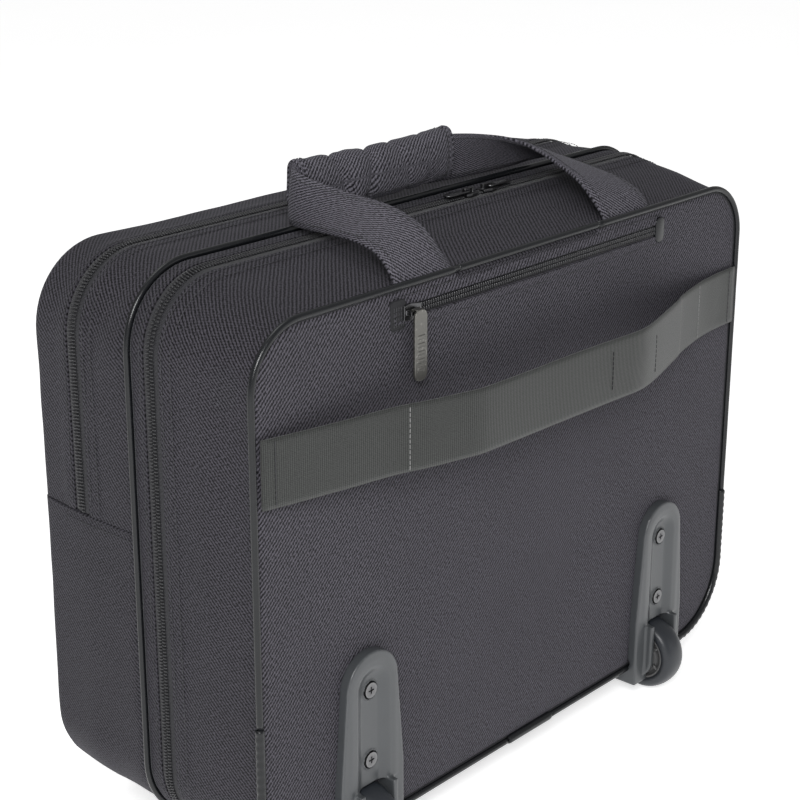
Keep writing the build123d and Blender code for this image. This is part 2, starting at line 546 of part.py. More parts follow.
# main zip, two sliders meeting near the middle of the top
MS_Z = TOP70 + 0.5 + 0.3
for name, x, d in (("left", 28.0, 1), ("right", 45.0, -1)):
    # d = +1 closes towards +x
    s = Pos(x, Y_ZIP, MS_Z) * (Rot(0, 0, 0 if d < 0 else 180) * slider(11.0, 9.0, 2.4))
    save(f"main_slider_{name}", s)
    base_x = x + (-0.6 if d > 0 else 0.6)
    t = Pos(base_x, Y_ZIP, MS_Z + 2.4) * (Rot(0, 0, 180 if d > 0 else 0) * (tab(21.0, 6.5, 1.0)))
    save(f"main_pull_{name}", t)

# back pocket zip slider, parked at the closed end, its tab hanging
BS_X = -105.0
bs = Pos(BS_X, -0.9, BACK_ZIP_Z) * (Rot(90, 0, 0) * (Rot(0, 0, 180) * slider(14.0, 9.5, 3.0)))
save("back_slider", bs)
BP_Y = -0.9 - 1.7 - 3.35   # line on which the hanging tab turns, in the slider's bridge
bt = Pos(BS_X, BP_Y - 1.3, BACK_ZIP_Z + 2.1) * (Rot(90, 0, 0) * (Rot(0, 0, -90) * (tab(40.0, 10.0, 1.4) + box(1.5, 5.5, -2.4, 2.4, 0, 1.4))))
bt = bt + box(BS_X - 2.75, BS_X + 2.75, BP_Y - 1.6, BP_Y + 2.2, BACK_ZIP_Z + 1.3, BACK_ZIP_Z + 2.1)
bt = bt + box(BS_X - 2.75, BS_X + 2.75, BP_Y + 1.4, BP_Y + 2.2, BACK_ZIP_Z + 0.1, BACK_ZIP_Z + 2.0)
save("back_pull", bt)

# organiser zip slider, parked at the closed end on the side away from the pocket zip slider
OS_X = station(133.0)[0]
os_ = Pos(OS_X + 0.8, Y_ORG, 200.0) * (Rot(0, 90, 0) * (Rot(0, 0, 180) * slider(11.0, 9.0, 2.4)))
save("organiser_slider", os_)
ot = Pos(OS_X + 0.8 + 2.4, Y_ORG, 199.4) * (Rot(0, 90, 0) * tab(21.0, 6.5, 1.0))
save("organiser_pull", ot)
print("travel", TRAVEL, "grip top", GZ1)
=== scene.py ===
import json
import math

import bpy
import bmesh
import numpy as np
from mathutils import Matrix, Vector

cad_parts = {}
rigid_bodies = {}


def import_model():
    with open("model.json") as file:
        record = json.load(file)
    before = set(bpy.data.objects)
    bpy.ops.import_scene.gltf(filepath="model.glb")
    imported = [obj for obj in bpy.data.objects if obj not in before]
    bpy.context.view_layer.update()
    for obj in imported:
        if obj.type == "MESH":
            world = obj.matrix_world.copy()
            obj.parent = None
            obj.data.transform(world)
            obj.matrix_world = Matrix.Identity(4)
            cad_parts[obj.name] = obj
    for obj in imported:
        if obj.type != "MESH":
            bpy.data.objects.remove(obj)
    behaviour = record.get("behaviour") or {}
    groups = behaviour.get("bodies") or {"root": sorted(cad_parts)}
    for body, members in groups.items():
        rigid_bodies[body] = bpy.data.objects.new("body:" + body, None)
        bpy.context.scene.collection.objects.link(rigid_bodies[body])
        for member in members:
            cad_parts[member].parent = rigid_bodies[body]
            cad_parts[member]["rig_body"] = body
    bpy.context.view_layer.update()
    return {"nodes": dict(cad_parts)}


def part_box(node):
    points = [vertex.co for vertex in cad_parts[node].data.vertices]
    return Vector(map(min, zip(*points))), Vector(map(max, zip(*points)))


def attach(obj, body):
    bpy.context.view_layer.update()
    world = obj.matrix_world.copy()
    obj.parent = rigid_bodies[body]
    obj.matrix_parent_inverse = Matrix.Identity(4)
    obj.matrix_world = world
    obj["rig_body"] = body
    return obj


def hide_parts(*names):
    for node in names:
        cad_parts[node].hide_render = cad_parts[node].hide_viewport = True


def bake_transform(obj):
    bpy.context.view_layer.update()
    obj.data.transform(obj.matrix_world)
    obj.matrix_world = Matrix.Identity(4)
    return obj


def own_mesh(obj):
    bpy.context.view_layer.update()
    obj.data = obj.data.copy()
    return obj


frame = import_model()
scene = bpy.context.scene
MM = 0.001

# ---------------------------------------------------------------- reference from the CAD frame
# Pieces are drawn in the case's own directions, in mm: x across, y in from the back panel
# towards the front, z up from the back panel's lower edge.
PB_LO, PB_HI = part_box("back_panel")
CX = (PB_LO.x + PB_HI.x) / 2
Y0 = PB_HI.y
Z0 = PB_LO.z
HW = (PB_HI.x - PB_LO.x) / 2 / MM
H = (PB_HI.z - PB_LO.z) / MM
FZ_LO, FZ_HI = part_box("front_flap")
Y_FRONT = (Y0 - FZ_LO.y) / MM
WALL = 2.5
Y_ZIP, Y_PIPE, Y_ORG, Z_SEAM = 70.0, 86.0, 133.0, 183.0
ST = {
    0.0: (HW, 0.0, H, 34.0, 45.0),
    35.0: (HW + 3.5, -0.6, H + 8.0, 38.0, 45.0),
    70.0: (HW + 5.0, -1.0, H + 14.5, 42.0, 45.0),
    86.0: (HW + 5.0, -1.0, H + 15.0, 42.0, 45.0),
    133.0: (HW + 5.0, -1.0, H + 15.5, 44.0, 45.0),
    165.0: (HW + 3.0, 0.0, H + 14.0, 46.0, 45.0),
    Y_FRONT: (HW - 4.0, 7.0, H + 7.0, 46.0, 42.0),
}
SY = sorted(ST)


def W(p):
    """Local mm, as an (n, 3) array, to the row frame in metres."""
    p = np.asarray(p, float)
    out = np.empty_like(p)
    out[..., 0] = CX - p[..., 0] * MM
    out[..., 1] = Y0 - p[..., 1] * MM
    out[..., 2] = Z0 + p[..., 2] * MM
    return out


def station(y):
    y = min(max(y, SY[0]), SY[-1])
    return [float(np.interp(y, SY, [ST[k][i] for k in SY])) for i in range(5)]


# ---------------------------------------------------------------- smooth noise, the same each run
_rng = np.random.RandomState(7)
_LAT = _rng.rand(32, 32, 32) * 2 - 1


def noise3(p, scale):
    """Value noise of (n, 3) points, one feature per `scale` mm."""
    q = np.asarray(p, float) / scale
    i = np.floor(q).astype(int)
    f = q - i
    f = f * f * (3 - 2 * f)
    out = 0
    for dx in (0, 1):
        for dy in (0, 1):
            for dz in (0, 1):
                w = (f[..., 0] if dx else 1 - f[..., 0]) * (f[..., 1] if dy else 1 - f[..., 1]) * (f[..., 2] if dz else 1 - f[..., 2])
                out = out + w * _LAT[(i[..., 0] + dx) % 32, (i[..., 1] + dy) % 32, (i[..., 2] + dz) % 32]
    return out


# ---------------------------------------------------------------- mesh helpers
MATS = {}


def mesh_obj(name, verts, faces, uvs=None, smooth=True, mat=None, local=True):
    """verts in local mm unless local is False. uvs: one (u, v) per vertex, in metres."""
    co = W(np.asarray(verts, float)) if local else np.asarray(verts, float)
    if local:
        faces = [tuple(reversed(f)) for f in faces]
    me = bpy.data.meshes.new(name)
    me.from_pydata([tuple(c) for c in co], [], [tuple(int(i) for i in f) for f in faces])
    if uvs is not None:
        layer = me.uv_layers.new(name="UVMap")
        idx = np.zeros(len(me.loops), int)
        me.loops.foreach_get("vertex_index", idx)
        layer.data.foreach_set("uv", np.asarray(uvs, float)[idx].astype(np.float32).ravel())
    if smooth:
        me.polygons.foreach_set("use_smooth", [True] * len(me.polygons))
    me.validate()
    me.update()
    ob = bpy.data.objects.new(name, me)
    scene.collection.objects.link(ob)
    if mat:
        me.materials.append(MATS[mat])
    return ob


def grid_faces(n, m, closed_n=False, closed_m=False):
    """Quads of an n by m grid of vertices, row by row."""
    f = []
    for i in range(n if closed_n else n - 1):
        for j in range(m if closed_m else m - 1):
            a, b = i * m + j, i * m + (j + 1) % m
            c, d = ((i + 1) % n) * m + (j + 1) % m, ((i + 1) % n) * m + j
            f.append((a, b, c, d))
    return f


def apply_mods(ob):
    dg = bpy.context.evaluated_depsgraph_get()
    dg.update()
    me = bpy.data.meshes.new_from_object(ob.evaluated_get(dg), preserve_all_data_layers=True, depsgraph=dg)
    old = ob.data
    ob.modifiers.clear()
    ob.data = me
    if old.users == 0:
        bpy.data.meshes.remove(old)
    return ob


def solidify(ob, t, sub=0, bevel=0.0):
    m = ob.modifiers.new("s", "SOLIDIFY")
    m.thickness = t * MM
    m.offset = -1.0
    m.use_even_offset = False
    if bevel:
        b = ob.modifiers.new("b", "BEVEL")
        b.width = bevel * MM
        b.segments = 2
        b.limit_method = "ANGLE"
        b.angle_limit = math.radians(50)
        b.harden_normals = False
    apply_mods(ob)
    ob.data.polygons.foreach_set("use_smooth", [True] * len(ob.data.polygons))
    return ob


def sharp(ob, deg=50):
    """Cut edges of the cloth stay crisp, and the cloth itself smooth."""
    bm = bmesh.new()
    bm.from_mesh(ob.data)
    for e in bm.edges:
        e.smooth = not (len(e.link_faces) == 2 and e.calc_face_angle(0.0) > math.radians(deg))
    bm.to_mesh(ob.data)
    bm.free()
    return ob


def fill_centre(ob):
    """Close the slit left where the rings meet in the middle of a face."""
    bm = bmesh.new()
    bm.from_mesh(ob.data)
    edges = [e for e in bm.edges if e.is_boundary]
    mid = [e for e in edges if abs(((e.verts[0].co + e.verts[1].co) / 2).z - CENTRE_Z[0]) < 0.004]
    if mid:
        r = bmesh.ops.holes_fill(bm, edges=mid, sides=0)
        bmesh.ops.triangulate(bm, faces=r["faces"])
    bm.to_mesh(ob.data)
    bm.free()


CENTRE_Z = [0.0]


def join(name, obs):
    """One object from several, keeping their materials."""
    bm = bmesh.new()
    mats = []
    for o in obs:
        for m in o.data.materials:
            if m not in mats:
                mats.append(m)
    for o in obs:
        tmp = o.data
        start = len(bm.faces)
        bm.from_mesh(tmp)
        bm.faces.ensure_lookup_table()
        if tmp.materials:
            for f in bm.faces[start:]:
                f.material_index = mats.index(tmp.materials[min(f.material_index, len(tmp.materials) - 1)])
    me = bpy.data.meshes.new(name)
    bm.to_mesh(me)
    bm.free()
    for m in mats:
        me.materials.append(m)
    ob = bpy.data.objects.new(name, me)
    scene.collection.objects.link(ob)
    for o in obs:
        d = o.data
        bpy.data.objects.remove(o)
        if d.users == 0:
            bpy.data.meshes.remove(d)
    return ob


def put(ob, body, slot, *nodes):
    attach(ob, body)
    if nodes:
        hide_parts(*nodes)
    return ob


# ---------------------------------------------------------------- materials
def new_mat(name):
    m = bpy.data.materials.new(name)
    m.use_nodes = True
    nt = m.node_tree
    nt.nodes.clear()
    out = nt.nodes.new("ShaderNodeOutputMaterial")
    bs = nt.nodes.new("ShaderNodeBsdfPrincipled")
    nt.links.new(bs.outputs[0], out.inputs[0])
    MATS[name] = m
    return m, nt, bs


def N(nt, kind, **kw):
    n = nt.nodes.new(kind)
    for k, v in kw.items():
        if k.startswith("i_"):
            key = k[2:]
            n.inputs[int(key) if key.isdigit() else key.replace("_", " ")].default_value = v
        else:
            setattr(n, k, v)
    return n


def math_node(nt, op, a, b=None, clamp=False):
    n = nt.nodes.new("ShaderNodeMath")
    n.operation = op
    n.use_clamp = clamp
    for i, v in enumerate((a, b)):
        if v is None:
            continue
        if isinstance(v, (int, float)):
            n.inputs[i].default_value = v
        else:
            nt.links.new(v, n.inputs[i])
    return n.outputs[0]


def ramp(nt, fac, stops):
    r = nt.nodes.new("ShaderNodeValToRGB")
    el = r.color_ramp.elements
    while len(el) < len(stops):
        el.new(0.5)
    for e, (p, c) in zip(el, stops):
        e.position = p
        e.color = (*c, 1)
    nt.links.new(fac, r.inputs[0])
    return r.outputs[0]


def rough_bump(nt, bs, rough, rough_var, height, strength, dist, fac=None):
    if fac is not None and rough_var:
        v = math_node(nt, "MULTIPLY", fac, rough_var)
        nt.links.new(math_node(nt, "ADD", v, rough - rough_var / 2, True), bs.inputs["Roughness"])
    else:
        bs.inputs["Roughness"].default_value = rough
    if height is not None:
        b = nt.nodes.new("ShaderNodeBump")
        b.inputs["Strength"].default_value = strength
        b.inputs["Distance"].default_value = dist
        nt.links.new(height, b.inputs["Height"])
        nt.links.new(b.outputs[0], bs.inputs["Normal"])


def twill(name, dark, light, period=0.00145, rough=0.78, sheen=0.05, contrast=1.0, var=0.16, bump=0.6, angle=0.0):
    """Coarse polyester twill: diagonal rows of short floats, salt-and-pepper tone, soft large-scale variation."""
    m, nt, bs = new_mat(name)
    uv = N(nt, "ShaderNodeTexCoord").outputs["UV"]
    mp = N(nt, "ShaderNodeMapping")
    nt.links.new(uv, mp.inputs[0])
    mp.inputs["Scale"].default_value = (1 / period, 1 / period, 1 / period)
    mp.inputs["Rotation"].default_value = (0, 0, angle)
    # slight wander of the yarns
    nz = N(nt, "ShaderNodeTexNoise", i_Scale=0.35, i_Detail=1.0)
    nt.links.new(mp.outputs[0], nz.inputs["Vector"])
    wob = N(nt, "ShaderNodeVectorMath", operation="MULTIPLY_ADD")
    nt.links.new(nz.outputs["Color"], wob.inputs[0])
    wob.inputs[1].default_value = (0.4, 0.4, 0.0)
    nt.links.new(mp.outputs[0], wob.inputs[2])
    sep = N(nt, "ShaderNodeSeparateXYZ")
    nt.links.new(wob.outputs[0], sep.inputs[0])
    x, y = sep.outputs[0], sep.outputs[1]
    tau = 2 * math.pi
    diag = math_node(nt, "SINE", math_node(nt, "MULTIPLY", math_node(nt, "ADD", x, y), tau / 2.0))
    warp = math_node(nt, "SINE", math_node(nt, "MULTIPLY", math_node(nt, "SUBTRACT", x, math_node(nt, "MULTIPLY", y, 0.5)), tau * 0.8))
    w1 = math_node(nt, "MULTIPLY", diag, 0.5)
    w2 = math_node(nt, "MULTIPLY", warp, 0.18)
    weave = math_node(nt, "ADD", math_node(nt, "ADD", w1, w2), 0.5)
    # heathered yarn: cells one float wide
    cell = N(nt, "ShaderNodeTexNoise", i_Scale=1.0, i_Detail=2.0, i_Roughness=0.65)
    run = N(nt, "ShaderNodeCombineXYZ")
    nt.links.new(math_node(nt, "MULTIPLY", math_node(nt, "ADD", x, y), 1.25), run.inputs[0])
    nt.links.new(math_node(nt, "MULTIPLY", math_node(nt, "SUBTRACT", x, y), 0.62), run.inputs[1])
    nt.links.new(run.outputs[0], cell.inputs["Vector"])
    c2 = math_node(nt, "MULTIPLY", math_node(nt, "SUBTRACT", cell.outputs["Fac"], 0.5), 2.3 * contrast)
    tone = math_node(nt, "ADD", weave, c2, True)
    col = ramp(nt, tone, [(0.08, dark), (0.5, tuple((a + b) / 2 * 0.94 for a, b in zip(dark, light))), (0.95, light)])
    # large soft variation
    ob = N(nt, "ShaderNodeTexCoord").outputs["Object"]
    big = N(nt, "ShaderNodeTexNoise", i_Scale=14.0, i_Detail=3.0, i_Roughness=0.6)
    nt.links.new(ob, big.inputs["Vector"])
    hsv = N(nt, "ShaderNodeHueSaturation")
    nt.links.new(col, hsv.inputs["Color"])
    v = math_node(nt, "ADD", math_node(nt, "MULTIPLY", big.outputs["Fac"], var * 2), 1.0 - var)
    nt.links.new(v, hsv.inputs["Value"])
    nt.links.new(hsv.outputs[0], bs.inputs["Base Color"])
    rough_bump(nt, bs, rough, 0.12, tone, bump, 0.00035, fac=tone)
    bs.inputs["Sheen Weight"].default_value = sheen
    bs.inputs["Sheen Roughness"].default_value = 0.45
    bs.inputs["Sheen Tint"].default_value = (0.8, 0.8, 0.9, 1)
    bs.inputs["Specular IOR Level"].default_value = 0.22
    return m


def webbing_mat(name, dark, light, rib=0.0013, rough=0.6, gloss=0.3):
    """Ribbed webbing: ribs across the band (constant u), fine yarn along it."""
    m, nt, bs = new_mat(name)
    uv = N(nt, "ShaderNodeTexCoord").outputs["UV"]
    sep = N(nt, "ShaderNodeSeparateXYZ")
    nt.links.new(uv, sep.inputs[0])
    nz = N(nt, "ShaderNodeTexNoise", i_Scale=900.0, i_Detail=2.0)
    nt.links.new(uv, nz.inputs["Vector"])
    jit = math_node(nt, "MULTIPLY", math_node(nt, "SUBTRACT", nz.outputs["Fac"], 0.5), 1.4)
    tau = 2 * math.pi
    rx = math_node(nt, "SINE", math_node(nt, "ADD", math_node(nt, "MULTIPLY", sep.outputs[0], tau / rib), jit))
    ry = math_node(nt, "SINE", math_node(nt, "ADD", math_node(nt, "MULTIPLY", sep.outputs[1], tau / (rib * 0.75)), jit))
    h = math_node(nt, "ADD", math_node(nt, "ADD", math_node(nt, "MULTIPLY", rx, 0.30), math_node(nt, "MULTIPLY", ry, 0.12)), 0.5)
    tone = math_node(nt, "ADD", h, math_node(nt, "MULTIPLY", math_node(nt, "SUBTRACT", nz.outputs["Fac"], 0.5), 0.8), True)
    col = ramp(nt, tone, [(0.1, dark), (0.9, light)])
    big = N(nt, "ShaderNodeTexNoise", i_Scale=25.0, i_Detail=2.0)
    nt.links.new(N(nt, "ShaderNodeTexCoord").outputs["Object"], big.inputs["Vector"])
    hsv = N(nt, "ShaderNodeHueSaturation")
    nt.links.new(col, hsv.inputs["Color"])
    nt.links.new(math_node(nt, "ADD", math_node(nt, "MULTIPLY", big.outputs["Fac"], 0.24), 0.88), hsv.inputs["Value"])
    nt.links.new(hsv.outputs[0], bs.inputs["Base Color"])
    rough_bump(nt, bs, rough, 0.2, h, 0.55, 0.0004, fac=h)
    bs.inputs["Sheen Weight"].default_value = 0.15
    bs.inputs["Specular IOR Level"].default_value = gloss
    return m


def solid_mat(name, colour, rough=0.5, var=0.12, grain=600.0, bump=0.15, metal=0.0, coat=0.0, spec=0.5, edge=None, stretch=(1, 1, 1), dist=0.0002, rvar=0.12):
    """Moulded, coated or metal surface: fine grain, tone variation, lighter convex edges and patchy roughness."""
    m, nt, bs = new_mat(name)
    ob = N(nt, "ShaderNodeTexCoord").outputs["Object"]
    mp = N(nt, "ShaderNodeMapping")
    nt.links.new(ob, mp.inputs[0])
    mp.inputs["Scale"].default_value = stretch
    fine = N(nt, "ShaderNodeTexNoise", i_Scale=grain, i_Detail=3.0, i_Roughness=0.6)
    nt.links.new(mp.outputs[0], fine.inputs["Vector"])
    big = N(nt, "ShaderNodeTexNoise", i_Scale=35.0, i_Detail=4.0, i_Roughness=0.65)
    nt.links.new(ob, big.inputs["Vector"])
    t = math_node(nt, "ADD", math_node(nt, "MULTIPLY", fine.outputs["Fac"], 0.5), math_node(nt, "MULTIPLY", big.outputs["Fac"], 0.5))
    lo = tuple(c * (1 - var) for c in colour)
    hi = tuple(c * (1 + var) for c in colour)
    col = ramp(nt, t, [(0.3, lo), (0.7, hi)])
    # lighter colour on convex edges, in patches where the large noise is high
    if edge is not None:
        geo = N(nt, "ShaderNodeNewGeometry")
        e = math_node(nt, "MULTIPLY", math_node(nt, "SUBTRACT", geo.outputs["Pointiness"], 0.53), 9.0, True)
        mix = N(nt, "ShaderNodeMix", data_type="RGBA")
        nt.links.new(math_node(nt, "MULTIPLY", e, big.outputs["Fac"]), mix.inputs[0])
        nt.links.new(col, mix.inputs[6])
        mix.inputs[7].default_value = (*edge, 1)
        col = mix.outputs[2]
    nt.links.new(col, bs.inputs["Base Color"])
    rough_bump(nt, bs, rough, rvar, fine.outputs["Fac"], bump, dist, fac=big.outputs["Fac"])
    bs.inputs["Metallic"].default_value = metal
    bs.inputs["Specular IOR Level"].default_value = spec
    bs.inputs["Coat Weight"].default_value = coat
    bs.inputs["Coat Roughness"].default_value = 0.25
    return m


twill("twill_panel", (0.0015, 0.0013, 0.0025), (0.084, 0.079, 0.095), contrast=1.35)
twill("twill_gusset", (0.0015, 0.0013, 0.0025), (0.051, 0.048, 0.058), contrast=1.3)
twill("twill_handle", (0.004, 0.0037, 0.006), (0.128, 0.122, 0.144), contrast=1.3)
twill("lining_cloth", (0.075, 0.077, 0.085), (0.16, 0.163, 0.175), period=0.0006, rough=0.6, sheen=0.1, contrast=0.4, var=0.08, bump=0.25)
webbing_mat("webbing_strap", (0.006, 0.0066, 0.006), (0.044, 0.047, 0.0445))
webbing_mat("zip_tape", (0.010, 0.010, 0.012), (0.040, 0.040, 0.045), rib=0.0008, rough=0.8, gloss=0.2)
solid_mat("coil", (0.020, 0.020, 0.022), rough=0.30, var=0.25, grain=900, bump=0.1)
solid_mat("piping_pvc", (0.006, 0.0068, 0.0080), rough=0.26, var=0.14, grain=420, bump=0.2, coat=0.04, spec=0.35)
solid_mat("thread", (0.030, 0.030, 0.034), rough=0.7, var=0.3, grain=2500, bump=0.4)
solid_mat("thread_light", (0.21, 0.21, 0.21), rough=0.7, var=0.3, grain=2500, bump=0.4)
solid_mat("seam_dark", (0.012, 0.012, 0.014), rough=0.9, var=0.2, grain=900, bump=0.2)
solid_mat("plastic_grey", (0.054, 0.058, 0.062), rough=0.32, var=0.10, grain=1400, bump=0.22, coat=0.08, edge=(0.20, 0.20, 0.20))
solid_mat("plastic_black", (0.022, 0.022, 0.024), rough=0.38, var=0.15, grain=1400, bump=0.2, edge=(0.06, 0.06, 0.06))
solid_mat("rubber_tyre", (0.018, 0.021, 0.026), rough=0.40, var=0.15, grain=900, bump=0.15, coat=0.05, edge=(0.06, 0.06, 0.065))
solid_mat("hub_plastic", (0.060, 0.060, 0.062), rough=0.45, var=0.15, grain=1200, bump=0.2, edge=(0.12, 0.12, 0.12))
solid_mat("rubber_foot", (0.025, 0.025, 0.027), rough=0.7, var=0.2, grain=900, bump=0.3, edge=(0.06, 0.06, 0.06))
solid_mat("steel", (0.50, 0.49, 0.47), rough=0.32, var=0.12, grain=700, bump=0.08, metal=1.0)
solid_mat("gunmetal", (0.11, 0.11, 0.115), rough=0.34, var=0.2, grain=700, bump=0.12, metal=1.0, edge=(0.30, 0.30, 0.30))
solid_mat("pull_metal", (0.15, 0.147, 0.137), rough=0.36, var=0.15, grain=900, bump=0.15, metal=0.85, edge=(0.34, 0.33, 0.31))
solid_mat("alu_tube", (0.62, 0.60, 0.58), rough=0.28, var=0.05, grain=900, bump=0.06, metal=1.0, stretch=(1, 1, 0.02))
solid_mat("board_hdpe", (0.06, 0.06, 0.062), rough=0.6, var=0.12, grain=700, bump=0.2)
solid_mat("foam_skin", (0.095, 0.096, 0.102), rough=0.9, var=0.15, grain=1500, bump=0.5)


# ---------------------------------------------------------------- the case's outline at any depth
def _marks(a, b, n, extra=()):
    v = list(np.linspace(a, b, n + 1))
    for e in extra:
        if min(a, b) < e < max(a, b):
            k = int(np.argmin([abs(x - e) for x in v[1:-1]])) + 1
            v[k] = e
    return v


T_BOT = _marks(0, 1, 45)
T_ARC_B = _marks(0, 1, 18, (48.19 / 90,))
T_SIDE = _marks(0, 1, 60)
T_ARC_T = _marks(0, 1, 16)
X_TOP = [188.0 - v for v in _marks(0, 376, 96, (188 - 134, 188 - 65, 188 + 65, 188 + 118))]


def _samples():
    s = []
    s += [(0, t) for t in T_BOT[:-1]]
    s += [(1, t) for t in T_ARC_B[:-1]]
    s += [(2, t) for t in T_SIDE[:-1]]
    s += [(3, t) for t in T_ARC_T[:-1]]
    s += [(4, x) for x in X_TOP[:-1]]
    s += [(5, t) for t in T_ARC_T[:-1]]
    s += [(6, t) for t in T_SIDE[:-1]]
    s += [(7, 1 - t) for t in T_ARC_B[::-1][:-1]]
    s += [(8, t) for t in T_BOT[:-1]]
    return s


SAMP = _samples()
SEG = np.array([a for a, _ in SAMP])
TT = np.array([b for _, b in SAMP])
NP_ = len(SAMP)


def peri(y, d=0.0):
    """Outline at depth y, drawn in by d: points and outward normals in x, z."""
    hw, z0, z1, rt, rb = station(y)
    hw, z0, z1 = hw - d, z0 + d, z1 - d
    rt, rb = max(rt - d, 1.5), max(rb - d, 1.5)
    zs = (z1 - z0) / 2
    if rt + rb > z1 - z0:
        k = (z1 - z0) / (rt + rb)
        rt, rb = rt * k, rb * k
    P = np.zeros((NP_, 2))
    Q = np.zeros((NP_, 2))
    for seg in range(9):
        m = SEG == seg
        t = TT[m]
        if seg == 0:
            P[m] = np.c_[t * (hw - rb), np.full(t.shape, z0)]
            Q[m] = (0, -1)
        elif seg == 1:
            a = np.radians(-90 + 90 * t)
            Q[m] = np.c_[np.cos(a), np.sin(a)]
            P[m] = np.c_[hw - rb + rb * np.cos(a), z0 + rb + rb * np.sin(a)]
        elif seg == 2:
            P[m] = np.c_[np.full(t.shape, hw), z0 + rb + t * (z1 - rt - z0 - rb)]
            Q[m] = (1, 0)
        elif seg == 3:
            a = np.radians(90 * t)
            Q[m] = np.c_[np.cos(a), np.sin(a)]
            P[m] = np.c_[hw - rt + rt * np.cos(a), z1 - rt + rt * np.sin(a)]
        elif seg == 4:
            P[m] = np.c_[t * (hw - rt) / 188.0, np.full(t.shape, z1)]
            Q[m] = (0, 1)
        elif seg == 5:
            a = np.radians(90 + 90 * t)
            Q[m] = np.c_[np.cos(a), np.sin(a)]
            P[m] = np.c_[-hw + rt + rt * np.cos(a), z1 - rt + rt * np.sin(a)]
        elif seg == 6:
            P[m] = np.c_[np.full(t.shape, -hw), z1 - rt - t * (z1 - rt - z0 - rb)]
            Q[m] = (-1, 0)
        elif seg == 7:
            a = np.radians(180 + 90 * t)
            Q[m] = np.c_[np.cos(a), np.sin(a)]
            P[m] = np.c_[-hw + rb + rb * np.cos(a), z0 + rb + rb * np.sin(a)]
        else:
            P[m] = np.c_[-(hw - rb) * (1 - t), np.full(t.shape, z0)]
            Q[m] = (0, -1)
    return P, Q


_p, _ = peri(86.0)
_seg = np.linalg.norm(np.roll(_p, -1, 0) - _p, axis=1)
ARC = np.r_[0, np.cumsum(_seg)[:-1]]     # arc length at each outline sample, mm
ARC_ALL = float(_seg.sum())
I_TOP_MID = int(np.argmin(np.abs(np.where(SEG == 4, TT, 1e9))))


def idx_range(first, last):
    return list(range(first, last + 1)) if last >= first else list(range(first, NP_)) + list(range(0, last + 1))


def first_of(seg, val=None):
    m = np.where(SEG == seg)[0]
    return int(m[0]) if val is None else int(m[np.argmin(np.abs(TT[m] - val))])


I_CUT_R = first_of(1, 48.19 / 90)        # main zip's lower ends
I_CUT_L = first_of(7, 1 - 48.19 / 90)
I_SLOT_R = first_of(4, 65.0)
I_SLOT_L = first_of(4, -65.0)


def orient(ob, centre=None, direction=None):
    """Turn every face to look away from centre, or along direction, judged over the whole mesh."""
    me = ob.data
    n = len(me.polygons)
    c = np.zeros(n * 3)
    v = np.zeros(n * 3)
    a = np.zeros(n)
    me.polygons.foreach_get("center", c)
    me.polygons.foreach_get("normal", v)
    me.polygons.foreach_get("area", a)
    c, v = c.reshape(-1, 3), v.reshape(-1, 3)
    d = np.array(direction, float) if direction is not None else c - np.array(centre, float)
    if ((v * d).sum(1) * a).sum() < 0:
        me.flip_normals()
    return ob


MID = W(np.array([[0, 86.0, 160.0]]))[0]


def band(name, prof, mat, idx=None, disp=None, thick=2.2, drop=None, cut=None, keep_side=1):
    """Cloth round the case: prof is (depth, offset) across it, idx the outline samples it covers."""
    closed = idx is None
    ids = list(range(NP_)) if closed else idx
    cols = len(ids) + (1 if closed else 0)
    sel = ids + [ids[0]] if closed else ids
    arc = ARC[sel].copy()
    if closed:
        arc[-1] += ARC_ALL
    else:
        for k in range(1, len(arc)):
            if arc[k] < arc[k - 1] - 1:
                arc[k:] += ARC_ALL
                break
    V, UV = [], []
    lens = np.r_[0, np.cumsum([math.dist(a, b) for a, b in zip(prof, prof[1:])])]
    for (y, off), L in zip(prof, lens):
        P, Q = peri(y)
        P, Q = P[sel], Q[sel]
        o = np.full(cols, float(off))
        p3 = np.c_[P[:, 0], np.full(cols, y), P[:, 1]]
        if disp is not None:
            dd = disp(p3, y, arc)
            if closed:
                dd[-1] = dd[0]
            o = o + dd
        V.append(np.c_[P[:, 0] + Q[:, 0] * o, np.full(cols, y), P[:, 1] + Q[:, 1] * o])
        UV.append(np.c_[arc * MM, np.full(cols, L * MM)])
    V = np.concatenate(V)
    UV = np.concatenate(UV)
    F = grid_faces(len(prof), cols)
    if drop is not None:
        F = [f for f in F if not drop(V[list(f)].mean(0))]
    ob = mesh_obj(name, V, F, UV, mat=mat)
    if closed:
        bm = bmesh.new()
        bm.from_mesh(ob.data)
        bmesh.ops.remove_doubles(bm, verts=bm.verts, dist=1e-6)
        bm.to_mesh(ob.data)
        bm.free()
    if cut is not None:
        slice_z(ob, cut, keep_side)
    orient(ob, centre=MID)
    if thick:
        solidify(ob, thick)
        orient_closed(ob)
        sharp(ob)
    return ob


def slice_z(ob, z, side=1):
    """Keep what is above (side 1) or below (side -1) local height z."""
    bm = bmesh.new()
    bm.from_mesh(ob.data)
    g = bm.verts[:] + bm.edges[:] + bm.faces[:]
    bmesh.ops.bisect_plane(bm, geom=g, plane_co=(0, 0, Z0 + z * MM), plane_no=(0, 0, 1), clear_inner=side > 0, clear_outer=side < 0)
    bmesh.ops.delete(bm, geom=[v for v in bm.verts if not v.link_faces], context="VERTS")
    bm.to_mesh(ob.data)
    bm.free()
    ob.data.update()


def orient_closed(ob):
    bm = bmesh.new()
    bm.from_mesh(ob.data)
    bmesh.ops.recalc_face_normals(bm, faces=bm.faces)
    bm.to_mesh(ob.data)
    bm.free()
    ob.data.polygons.foreach_set("use_smooth", [True] * len(ob.data.polygons))
    return ob


